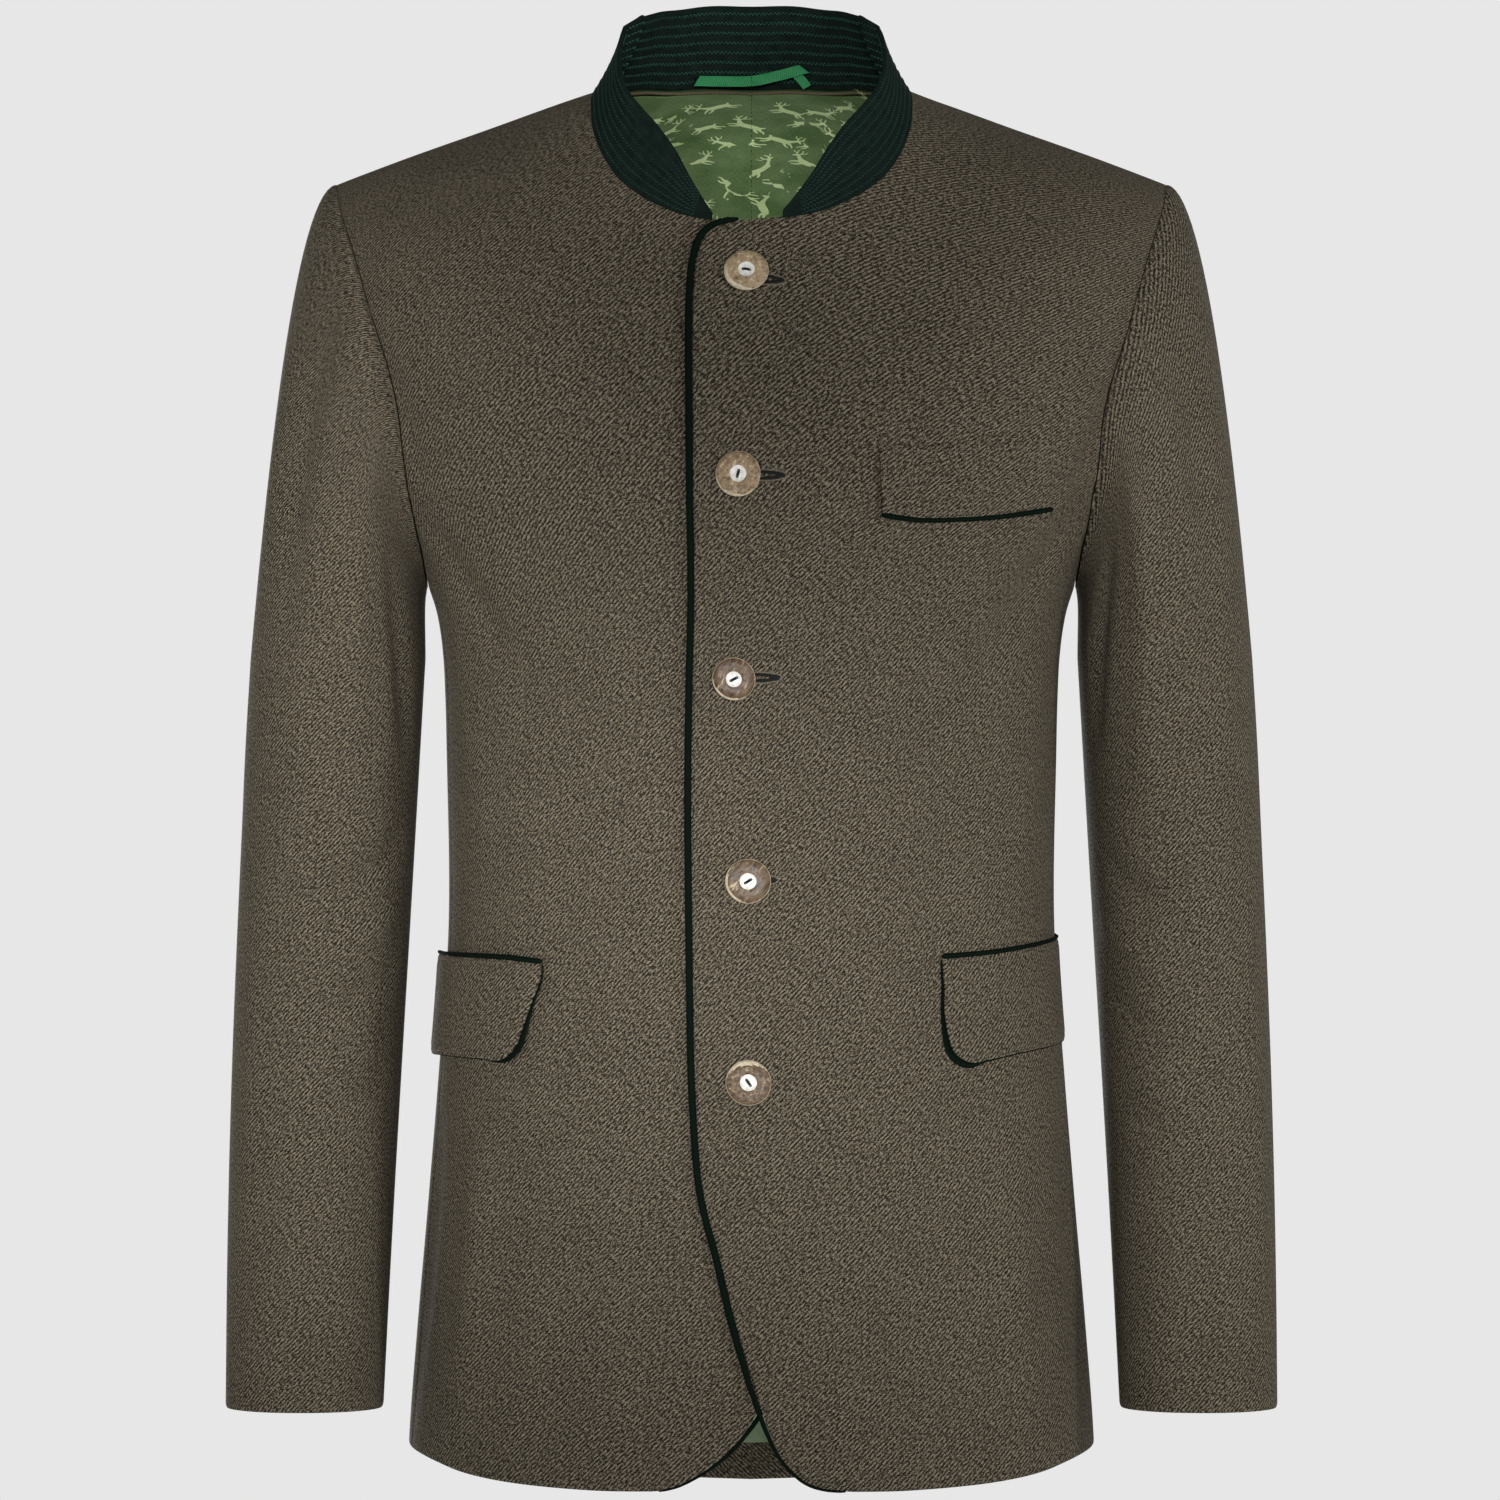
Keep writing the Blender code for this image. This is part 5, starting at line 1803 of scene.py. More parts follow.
    def build(self) -> None:
        """Adds the top and the under piece."""
        grid, normals, degrees = self.grid()
        out, under = self.relief(grid, degrees)
        outer = grid + normals * out[..., None]
        inner = grid + normals * under[..., None]
        steps = np.linalg.norm(np.diff(grid, axis=0), axis=2)
        up = np.concatenate([np.cumsum(steps[::-1], axis=0)[::-1], np.zeros((1, grid.shape[1]))])
        if self.side == "right":
            outer[..., 0] *= -1
            inner[..., 0] *= -1
        first, last = (int(np.argmin(np.abs(degrees - seam))) for seam in self.seams)
        parts = {"under": list(range(first, last + 1)),
                 "top": list(range(last, len(degrees))) + list(range(0, first + 1))}
        for part, columns in parts.items():
            faces = grid_faces(len(up), len(columns))
            weave = self.weave(grid[:, columns], degrees[columns], up[:, columns])
            sheets = (sheet[:, columns].reshape(-1, 3) for sheet in (outer, inner))
            shape = shell(*sheets, faces, weave)
            wide = len(columns) - 1
            for k in range(len(faces)):
                if up[k // wide, 0] < self.facing:
                    shape.kinds[len(faces) + k] = 0
            name = "sleeve_" + self.side + "_" + part
            piece = make_piece("cloth_" + name, shape, (TWILL, PLAIN_LINING), name)


# Collar


@dataclass
class Collar:
    """The stand collar with its rows of stitching."""

    station: float = 0.0022
    rows: int = 8
    pitch: float = 0.0022
    stitch_along: float = 0.00052
    stitch_up: float = 0.00022
    stitch_wide: float = 0.00050
    stitch_high: float = 0.00046
    binding_drop: float = 0.0011
    binding_in: float = 0.0016

    def half(self, end: Sequence[float], raised: Callable[[Points], Points]) -> tuple[Points, Points]:
        """Neck seam and top edge of one half, from its front end to the centre back.

        Args:
            end: the row of its front end.
            raised: how far flat places are lifted.

        Returns:
            The seam and the top edge.
        """
        front = through(FORM.flat(NECK_FRONT), 0.0004)
        x = FORM.point(front[:, 0] / FORM.radius, front[:, 1])[:, 0]
        first = int(np.argmin(np.abs(x[: len(x) * 2 // 3] - end[0] / 1000)))
        back = evened(CUT.neck_back, self.station)
        line = np.concatenate([evened(front[first:], self.station)[:-1], back])
        line[:, 1] = np.minimum(line[:, 1], FORM.rise)
        rise = np.where(line[:, 0] < math.pi / 2 * FORM.radius, raised(line), 0.0)
        t = line[:, 0] / FORM.radius
        foot = FORM.point(t, line[:, 1])
        out = FORM.normal(t, line[:, 1]) * rise[:, None]
        lengths = lengths_of(foot)
        rows = []
        for x, z, behind, top_x, top_y, top_z in [end] + list(COLLAR):
            seam_t, seam_w = FORM.place(x / 1000, z / 1000, bool(behind))
            seam = FORM.point(np.array([float(seam_t)]), np.array([float(seam_w)]))
            _, share = nearest(seam, foot)
            at = np.interp(share[0] * (len(foot) - 1), np.arange(len(foot)), lengths)
            rows.append((at, *(np.array([top_x, top_y, top_z]) / 1000 - seam[0])))
        reach = np.stack([smooth(rows, lengths, k) for k in (1, 2, 3)], axis=1)
        return foot + out, foot + out + reach

    @cached_property
    def lines(self) -> tuple[Points, Points, Points]:
        """The seam, the top edge, and the pull inwards between them.

        Returns:
            The seam, the top edge and the pull.
        """
        right_low, right_high = self.half(COLLAR_RIGHT_END, no_lift)
        left_low, left_high = self.half(COLLAR_LEFT_END, FORM.lift)
        turn = np.array([-1, 1, 1])
        low = np.concatenate([right_low * turn, left_low[::-1][1:]])
        high = np.concatenate([right_high * turn, left_high[::-1][1:]])
        reach = high - low
        for _ in range(40):
            reach[1:-1] = (reach[:-2] + 2 * reach[1:-1] + reach[2:]) / 4
        high = low + reach
        low = low - unit(high - low) * 0.0009
        middle = (low + high) / 2 * np.array([1, 1, 0])
        share = np.clip((low[:, 2:] + 0.060) / 0.045, 0, 1)
        tall = np.linalg.norm(high - low, axis=1, keepdims=True)
        return low, high, -unit(middle) * tall * COLLAR_HOLLOW * share

    def surface(self, parts: Points) -> tuple[Points, Points]:
        """Places of the outer side row by row for parts of the height, and directions out.

        Args:
            parts: parts of the height.

        Returns:
            The places and the directions.
        """
        low, high, pull = self.lines
        k = parts[:, None, None]
        grid = low + (high - low) * k + pull * 4 * k * (1 - k)
        around = np.gradient(grid, axis=1)
        up = (high - low) + pull * 4 * (1 - 2 * k)
        normals = unit(np.cross(around, up))
        if np.sum(grid[..., :2] * normals[..., :2]) < 0:
            normals = -normals
        return grid, normals

    def cloth(self) -> Shape:
        """The collar's cloth, with a rounded top edge.

        Returns:
            The closed cloth.
        """
        parts = np.concatenate([[0.0, 0.02], np.linspace(0.06, 0.94, 20), [0.975, 1.0]])
        grid, normals = self.surface(parts)
        wave = 0.0003 * np.sin(np.linspace(0, 26, grid.shape[1]))
        grid = grid + normals * (wave[None, :, None] * parts[:, None, None])
        half = COLLAR_WALL / 2
        top = grid[-1] - normals[-1] * half
        up = unit(grid[-1] - grid[-2])
        arc = [top + normals[-1] * half * math.cos(a) + up * half * 0.9 * math.sin(a)
               for a in np.radians([35, 65, 90, 115, 145])]
        ring = [*grid[:-1], grid[-1], *arc, *(grid - normals * COLLAR_WALL)[::-1]]
        section = np.array(ring).transpose(1, 0, 2)
        count = section.shape[1]
        faces = grid_faces(len(section), count, closed=True)
        last = (len(section) - 1) * count
        for k in range(count // 2):
            a, b = k, count - 1 - k
            if b - a > 2:
                faces.append((a, a + 1, b - 1, b))
                faces.append((last + b, last + b - 1, last + a + 1, last + a))
            elif b - a == 2:
                faces.append((a, a + 1, b))
                faces.append((last + b, last + a + 1, last + a))
        around = lengths_of(self.lines[0])
        over = 0.045 + 0.0007 * np.arange(1, 6)
        up_lengths = np.concatenate([parts * 0.045, over, 0.05 + (1 - parts[::-1]) * 0.045])
        weave = np.stack(np.meshgrid(up_lengths, around), axis=-1)[..., ::-1]
        return Shape(section.reshape(-1, 3), faces, weave.reshape(-1, 2))

    def stitch_rows(self, inner: bool) -> Shape:
        """Rows of small zigzag stitches round the collar.

        Args:
            inner: whether they lie on the inner side.

        Returns:
            All stitches as one shape.
        """
        shapes = []
        low, high, _ = self.lines
        tall = np.linalg.norm(high - low, axis=1)
        for row in range(self.rows):
            part = (row + 0.75) / (self.rows + 0.35)
            grid, normals = self.surface(np.array([part]))
            tip = grid[0] - normals[0] * (COLLAR_WALL + 0.00012 if inner else -0.00002)
            out = -normals[0] if inner else normals[0]
            up = unit(high - low)
            keep = np.flatnonzero(tall > (0.012 if inner else 0.0105))
            tip, out, up = tip[keep], out[keep], up[keep]
            lengths = lengths_of(tip)
            at = np.arange(0.003, lengths[-1] - 0.003, self.pitch / 2)
            at = at + 0.00012 * np.sin(at * 4100.0 + row)
            places = resample(tip, at)
            ups = read_along(up, lengths, at)
            outs = read_along(out, lengths, at)
            ways = unit(np.gradient(places, axis=0))
            side = np.where(np.arange(len(at)) % 2 == 0, 1.0, -1.0)[:, None]
            middle = places + ups * side * 0.00038
            reach = ways * self.stitch_along + ups * side * self.stitch_up
            ends = (middle - reach, middle + reach)
            shapes.append(threads(*ends, outs, self.stitch_wide, self.stitch_high))
        return joined(shapes)

    def build(self) -> None:
        """Adds the collar, its stitching and the binding at its foot."""
        piece = make_piece("melton_collar", self.cloth(), (MELTON,), "collar")
        inner = make_piece("collar_stitches_inside", self.stitch_rows(True),
                           (GREEN_THREAD,))
        outer = make_piece("collar_stitches_outside", self.stitch_rows(False),
                           (DEEP_THREAD,))
        line = CUT.neck_back[CUT.neck_back[:, 0] > 1.72 * FORM.radius]
        line = line - np.array([0.0, self.binding_drop])
        both = np.concatenate([line, (line * [-1, 1] + [2 * math.pi * FORM.radius, 0])[::-1][1:]])
        depth = -(COLLAR_WALL + self.binding_in)
        t = both[:, 0] / FORM.radius
        path = FORM.point(t, both[:, 1]) + FORM.normal(t, both[:, 1]) * depth
        path = through(path[::3], 0.0016)
        binding = tube(path, level_out(path), 0.0009, 0.0008, 8)
        make_piece("neck_binding", binding, (BINDING,))


def level_out(path: Points) -> Points:
    """Level directions away from the neck's middle."""
    return unit(path * np.array([1.0, 1.0, 0.0]))


# Lining


@dataclass
class BackLining:
    """The figured lining of the back, with its centre seam."""

    step: float = 0.0062
    fine_step: float = 0.0030
    fine_above: float = 0.235
    figure_pitch: float = 0.0148
    figure_drift: float = 0.006
    thick: float = 0.0005
    base: float = -(WALL + LINING_GAP)

    @cached_property
    def folds(self) -> Points:
        """The lining's own folds."""
        return FORM.fold_rows(LINING_FOLDS)

    def depth(self, flat: Points) -> Points:
        """How far inside the body form the lining lies."""
        width = np.stack([FORM.width(flat[:, 0] / FORM.radius), flat[:, 1]], axis=1) * 1000
        return self.base + fold_relief(width, self.folds)

    def place(self, flat: Points, off: float = 0.0) -> Points:
        """Places of the lining, off towards the room inside."""
        return FORM.cloth(flat, self.depth(flat) - off)

    def fill(self, outline: Points, extra: Points) -> tuple[Points, list]:
        """Fills the outline with a coarse grid beside the closer points at its top.

        Args:
            outline: the lining's outline.
            extra: the closer points.

        Returns:
            The points, the outline's first, and the triangles.
        """
        reach = self.step * 0.6
        grid = even_grid(outline, self.step)
        over = grid[:, 1] > self.fine_above - reach
        over &= grid[:, 0] > extra[:, 0].min() - reach
        over &= grid[:, 0] < extra[:, 0].max() + reach
        grid = grid[~over]
        gap, _ = nearest(grid, outline, closed=True)
        return triangles(outline, extra, grid[inside(grid, outline) & (gap > reach)])

    def cloth(self) -> Shape:
        """The lining's cloth.

        Returns:
            The closed cloth.
        """
        outline = inset(CUT.lining(), 0.0022)
        apart = np.linalg.norm(np.diff(outline, axis=0), axis=1) > 0.0008
        outline = outline[np.concatenate([[True], apart])]
        top = outline[:, 1].max()
        extra = []
        for row, w in enumerate(np.arange(self.fine_above, top, self.fine_step * ROW_SHARE)):
            across = np.arange(2.45 * FORM.radius, 3.84 * FORM.radius, self.fine_step)
            across = across + (row % 2) * self.fine_step / 2
            extra.append(np.stack([across, np.full(len(across), w)], axis=1))
        extra = np.concatenate(extra)
        gap, _ = nearest(extra, outline, closed=True)
        extra = extra[inside(extra, outline) & (gap > 0.0035)]
        flat, faces = self.fill(outline, extra)
        inner = self.place(flat, self.thick)
        return shell(self.place(flat), inner, faces, FORM.weave(flat))

    def figures(self) -> Shape:
        """Small leaping stags scattered over the lining.

        Returns:
            All figures as one shape.
        """
        figure, faces = Stag().cut
        first = BACK_SEAM * FORM.radius
        last = 2 * math.pi * FORM.radius - first
        outline = inset(CUT.lining(), 0.010)
        shapes = []
        for row, w in enumerate(np.arange(-0.51, 0.325, self.figure_pitch)):
            across = np.arange(first, last, self.figure_pitch * 0.84)
            across = across[inside(np.stack([across, np.full(len(across), w)], axis=1), outline)]
            for u in across:
                turn = (row * 37 + int(u * 2000) * 53) % 97 / 97
                x = u + (turn - 0.5) * self.figure_drift + (row % 2) * self.figure_pitch * 0.4
                middle = np.array([x, w + (turn * 7 % 1 - 0.5) * self.figure_drift])
                angle = (turn * 5 % 1 - 0.5) * 1.5 + (math.pi / 2 if turn * 3 % 1 > 0.66 else 0.0)
                flip = side_sign(turn * 11 % 1 <= 0.45)
                flat = figure * flip * (0.0122 + 0.0022 * (turn * 17 % 1))
                c, s = math.cos(angle), math.sin(angle)
                flat = flat @ np.array([[c, s], [-s, c]])
                flat = flat * np.array([0.70, 1.0]) + middle
                shapes.append(Shape(flat, faces))
        whole = joined(shapes)
        top = self.place(whole.points, 0.00072)
        return Shape(top, whole.faces, FORM.weave(whole.points))

    def build(self) -> None:
        """Adds the lining, its figures and its centre seam."""
        piece = make_piece("lining_back", self.cloth(), (LINING, LINING), "back_lining")
        figures = make_piece("lining_figures", self.figures(), (FIGURE,))
        line = straight((math.pi * FORM.radius, 0.322), (math.pi * FORM.radius, -0.50), 0.004)
        path = self.place(line, 0.0007)
        stitches = running_stitch(path, FORM.out(line), 0.0030, 0.0019, 0.00035, 0.0003)
        seam = make_piece("lining_seam", stitches, (DARK_THREAD,))


@dataclass(frozen=True)
class Stag:
    """A small leaping stag, built of tapered strokes of unit length."""

    # Strokes: points of their middle lines with the width at each
    strokes: tuple = (
        ((-0.42, 0.02, 0.13), (-0.20, 0.03, 0.22), (0.06, 0.06, 0.21), (0.22, 0.12, 0.17)),
        ((0.15, 0.10, 0.18), (0.29, 0.25, 0.11), (0.34, 0.34, 0.09)),
        ((0.30, 0.33, 0.11), (0.41, 0.33, 0.09), (0.51, 0.28, 0.05)),
        ((0.20, 0.05, 0.10), (0.37, 0.00, 0.06), (0.47, -0.10, 0.04)),
        ((0.10, 0.00, 0.10), (0.24, -0.12, 0.06), (0.38, -0.15, 0.04)),
        ((-0.38, 0.02, 0.14), (-0.47, -0.11, 0.07), (-0.58, -0.13, 0.05), (-0.65, -0.22, 0.035)),
        ((-0.32, -0.03, 0.12), (-0.37, -0.17, 0.07), (-0.50, -0.24, 0.04)),
        ((-0.42, 0.07, 0.08), (-0.49, 0.14, 0.05)),
        ((0.34, 0.35, 0.06), (0.27, 0.46, 0.05), (0.30, 0.62, 0.035)),
        ((0.28, 0.44, 0.05), (0.17, 0.47, 0.035), (0.13, 0.56, 0.03)),
        ((0.36, 0.35, 0.06), (0.43, 0.46, 0.05), (0.41, 0.63, 0.035)),
        ((0.42, 0.44, 0.05), (0.52, 0.48, 0.035), (0.55, 0.56, 0.03)),
    )

    @cached_property
    def cut(self) -> tuple[Points, list]:
        """Flat points and faces of one stag of about unit length.

        Returns:
            The points and the faces.
        """
        points, faces = [], []
        for stroke in self.strokes:
            rows = np.array(stroke)
            line = through(rows[:, :2], 0.10)
            at = lengths_of(line)
            given = lengths_of(rows[:, :2])
            wide = np.interp(at / at[-1], given / given[-1], rows[:, 2])
            along = unit(np.gradient(line, axis=0))
            side = np.stack([-along[:, 1], along[:, 0]], axis=1) * wide[:, None] / 2
            start = len(points)
            for a, b in zip(line + side, line - side):
                points += [a, b]
            for k in range(start, start + 2 * len(line) - 2, 2):
                faces.append((k, k + 1, k + 3, k + 2))
        return np.array(points), faces


# Trim


def sharp_outline(points: Points, corners: Sequence[int], step: float) -> Points:
    """A closed outline that is smooth between its corners.

    Args:
        points: the rough outline.
        corners: numbers of its sharp corners.
        step: the step between the new points.

    Returns:
        The new outline.
    """
    count = len(points)
    result = []
    for k, start in enumerate(corners):
        end = corners[(k + 1) % len(corners)]
        if end <= start:
            end += count
        side = points[[i % count for i in range(start, end + 1)]]
        result.append(through(side, step)[:-1])
    return np.concatenate(result)


def body_cord(line: Points, offset: Points | float, high: float, mirrored: bool = False) -> Shape:
    """A front piping along a flat line, its middle at an offset, thinner at the hem.

    Args:
        line: the flat line.
        offset: how far its middle is off the cloth.
        high: half its height.
        mirrored: whether it is on the right.

    Returns:
        The cord.
    """
    flat = line * side_sign(mirrored)
    cord = tube(FORM.cloth(flat, offset), FORM.out(flat), CORD_WIDE, high)
    return thinned(cord, hem_share(line))


def thinned(cord: Shape, shares: Points) -> Shape:
    """A cord drawn in toward its middle line by a share at each of its rings.

    Args:
        cord: the cord.
        shares: the share of each ring.

    Returns:
        The same cord, thinner.
    """
    rings = cord.points.reshape(len(shares), -1, 3)
    centre = rings.mean(axis=1, keepdims=True)
    cord.points = (centre + (rings - centre) * shares[:, None, None]).reshape(-1, 3)
    return cord


def hem_share(line: Points) -> Points:
    """How thick the front piping is along its line, from 1 down to its thin end at the hem.

    Args:
        line: the piping's flat places.

    Returns:
        The share at each place.
    """
    lengths = lengths_of(line)
    left = np.clip((lengths[-1] - lengths) / 0.095, 0, 1)
    return THIN_CORD + (1 - THIN_CORD) * left ** 1.2


@dataclass
class Flap:
    """A pocket flap with its piping and edge stitching, and on the hip flaps a dark strip of painted
    shade past its free edge.
    """

    name: str
    outline: Points
    cord: Points
    cord_name: str
    mirrored: bool
    flat_size: tuple[float, float]
    flat_area: float
    step: float = 0.0030
    stand: float = 0.0034
    thin_end: float = 1.0
    # Width of a dark strip of painted shade past the free edge, standing in for the flap's cast shadow;
    # 0 for none
    facing: float = 0.0
    edge_row: float = 0.0007
    roll_wide: float = 0.0010
    roll_deep: float = 0.0009
    press_wide: float = 0.0008
    press_deep: float = 0.00040
    sewn_in: float = 0.0020

    def stand_off(self, flat: Points) -> Points:
        """How far the flap's free front corner stands off the cloth below it.

        Args:
            flat: flat places of the flap.

        Returns:
            The distances.
        """
        low, high = self.outline.min(axis=0), self.outline.max(axis=0)
        down = np.clip((high[1] - flat[:, 1]) / (high[1] - low[1]), 0, 1) ** 0.8
        forward = np.clip(1 - (np.abs(flat[:, 0]) - low[0]) / (high[0] - low[0]) * 1.3, 0, 1)
        return self.stand * down * forward

    def add_painted_shade_strip(self) -> None:
        """Adds a dark strip of painted shade past the free edge, where the standing-off flap casts its
        shadow, widest at the front corner.
        """
        low, high = self.outline.min(axis=0), self.outline.max(axis=0)
        end = int(np.argmax(self.outline[:, 0] > low[0] + 0.90 * (high[0] - low[0])))
        line = self.outline[:end]
        along = lengths_of(line)
        corner = 0.85 * (high[1] - low[1])
        front = THIN_CORD + (1 - THIN_CORD) * np.exp(-((along - corner) / 0.016) ** 2)
        bottom = np.clip((along - corner - 0.012) / (along[-1] - corner), 0, 1)
        flat = line * side_sign(self.mirrored)
        path = FORM.cloth(flat, FORM.lift(flat) + 0.0006)
        # Painted shadow: a dark cord laid on the cloth beside the flap's edge, thinner along the bottom
        strip = tube(path, FORM.out(flat), self.facing, 0.0006)
        strip = thinned(strip, front * (1 - 0.6 * bottom))
        make_piece("facing_" + self.name, strip, (PIPING,))

    def build(self) -> None:
        """Adds the flap, its piping, its stitches and any dark strip of painted shade past its edge."""
        if self.facing:
            self.add_painted_shade_strip()
        flat, faces = fill(self.outline, self.step, self.edge_row)
        gap, _ = nearest(flat, self.outline, closed=True)
        line = inset(self.outline, self.sewn_in)
        line = line[nearest(line, self.outline, closed=True)[0] > 0.0018]
        sign = side_sign(self.mirrored)
        flat = flat * sign
        base = FORM.lift(flat) + self.stand_off(flat)
        roll = self.roll_deep * np.exp(-(gap / self.roll_wide) ** 2)
        press = self.press_deep * np.exp(-((gap - self.sewn_in) / self.press_wide) ** 2)
        outer = FORM.cloth(flat, base + FLAP_TOP - roll - press)
        inner = FORM.cloth(flat, base + 0.00015)
        shape = shell(outer, inner, faces, FORM.weave(flat) + np.array([0.31, 0.17]))
        # The flap's underside takes the dark piping finish: partly a dark flap lining, partly painted
        # shade in the gap where the flap stands off
        piece = make_piece("cloth_" + self.name, shape, (TWILL, PIPING), self.name)
        closed = np.concatenate([line, line[:1]]) * sign
        rise = FORM.lift(closed) + self.stand_off(closed) + FLAP_TOP - 0.00038
        path = FORM.cloth(closed, rise)
        sewing = running_stitch(path, FORM.out(closed), 0.0023, 0.0013, 0.00048, 0.00045)
        stitches = make_piece("stitches_" + self.name, sewing, (CLOTH_THREAD,))
        cord = self.cord * sign
        raised = FORM.lift(cord) + 0.0003 + FLAP_CORD * 0.6
        round_cord = tube(FORM.cloth(cord, raised), FORM.out(cord), FLAP_CORD, FLAP_CORD)
        shares = self.thin_end + (1 - self.thin_end) * np.linspace(0, 1, len(cord)) ** 0.8
        make_piece("cord_" + self.cord_name, thinned(round_cord, shares), (PIPING,),
                   self.cord_name)


class Pockets:
    """The chest flap and the two hip flaps."""

    def build(self) -> None:
        """Adds the three flaps."""
        chest = FORM.flat(CHEST)
        edge = through(chest[:5], 0.002)
        edge[:, 1] -= FLAP_CORD * 0.85
        Flap("chest_flap", sharp_outline(chest, (0, 4, 6, 9), 0.003), edge, "piping_chest", False,
             (0.100, 0.041), 0.0039).build()
        # Each hip flap: side, outline rows, number of its top corner, and the width of its dark strip
        # of painted shade
        hips = (("left", HIP_LEFT, 15, 0.0032), ("right", HIP_RIGHT, 14, 0.0020))
        for side, rows, first, facing in hips:
            points = FORM.flat_at_angles(rows)
            top = through(np.concatenate([points[first:], points[:1]]), 0.002)
            top[:, 1] += FLAP_CORD * 0.85
            top = top[2:]
            outline = sharp_outline(points, (0, first), 0.003)
            Flap("hip_flap_" + side, outline, top, "piping_hip_" + side, side == "right",
                 (0.16, 0.062), 0.0086, thin_end=0.40, facing=facing).build()


@dataclass
class FrontEdges:
    """The piping round both fronts."""

    stitch_in: float = 0.0034
    pitch: float = 0.0036
    stitch: float = 0.0014

    def build(self) -> None:
        """Adds the two cords and the stitches beside the upper one."""
        edge = CUT.front_edge
        over = FORM.lift(edge) + CORD_HIGH - WALL + 0.0003
        make_piece("cord_front_left", body_cord(edge, over, CORD_HIGH), (PIPING,),
                   "piping_front_left")
        under = body_cord(CUT.under_edge, -UNDER_CORD_DROP, UNDER_CORD_HIGH, True)
        make_piece("cord_front_right", under, (PIPING,), "piping_front_right")
        quarter_turn = np.array([[0.0, 1.0], [-1.0, 0.0]])
        line = edge + unit(np.gradient(edge, axis=0)) @ quarter_turn * self.stitch_in
        path = FORM.cloth(line, FORM.lift(line) + 0.00002)
        sewing = running_stitch(path, FORM.out(line), self.pitch, self.stitch, 0.0004, 0.0003)
        make_piece("stitches_front_edge", sewing, (CLOTH_THREAD,))


@dataclass(frozen=True)
class ButtonLook:
    """Place and face of one button."""

    x: float
    z: float
    radius: float
    finish: Antler
    rim_turn: float
    rim_share: float
    bar_turn: float
    hole: tuple[float, float, float]


BUTTONS = (
    ButtonLook(-2.9, -100.1, 11.7, Antler(
        "antler_1", (0.150, 0.092, 0.042), (0.400, 0.295, 0.175), (0.700, 0.590, 0.400), 1.0, 20, 0.3),
        215, 0.30, -10, (4.5, -103.6, -5)),
    ButtonLook(-7.0, -205.8, 11.8, Antler(
        "antler_2", (0.100, 0.058, 0.025), (0.290, 0.200, 0.110), (0.620, 0.500, 0.310), 1.2, 70, 5.1),
        250, 0.12, 75, (4.6, -206.3, 0)),
    ButtonLook(-9.1, -311.5, 11.2, Antler(
        "antler_3", (0.040, 0.021, 0.010), (0.125, 0.074, 0.038), (0.440, 0.330, 0.190), 3.4, 62, 9.4),
        240, 0.16, 28, (2.0, -311.0, 0)),
    ButtonLook(-1.8, -417.3, 11.8, Antler(
        "antler_4", (0.036, 0.019, 0.009), (0.130, 0.080, 0.040), (0.520, 0.410, 0.250), 4.0, 52, 14.2),
        200, 0.20, 32, (0.4, -416.7, 0)),
    ButtonLook(-1.6, -522.7, 11.9, Antler(
        "antler_5", (0.042, 0.023, 0.011), (0.140, 0.088, 0.046), (0.420, 0.310, 0.185), 1.0, 0, 21.7),
        95, 0.34, -55, (-1.8, -522.4, 0)),
)


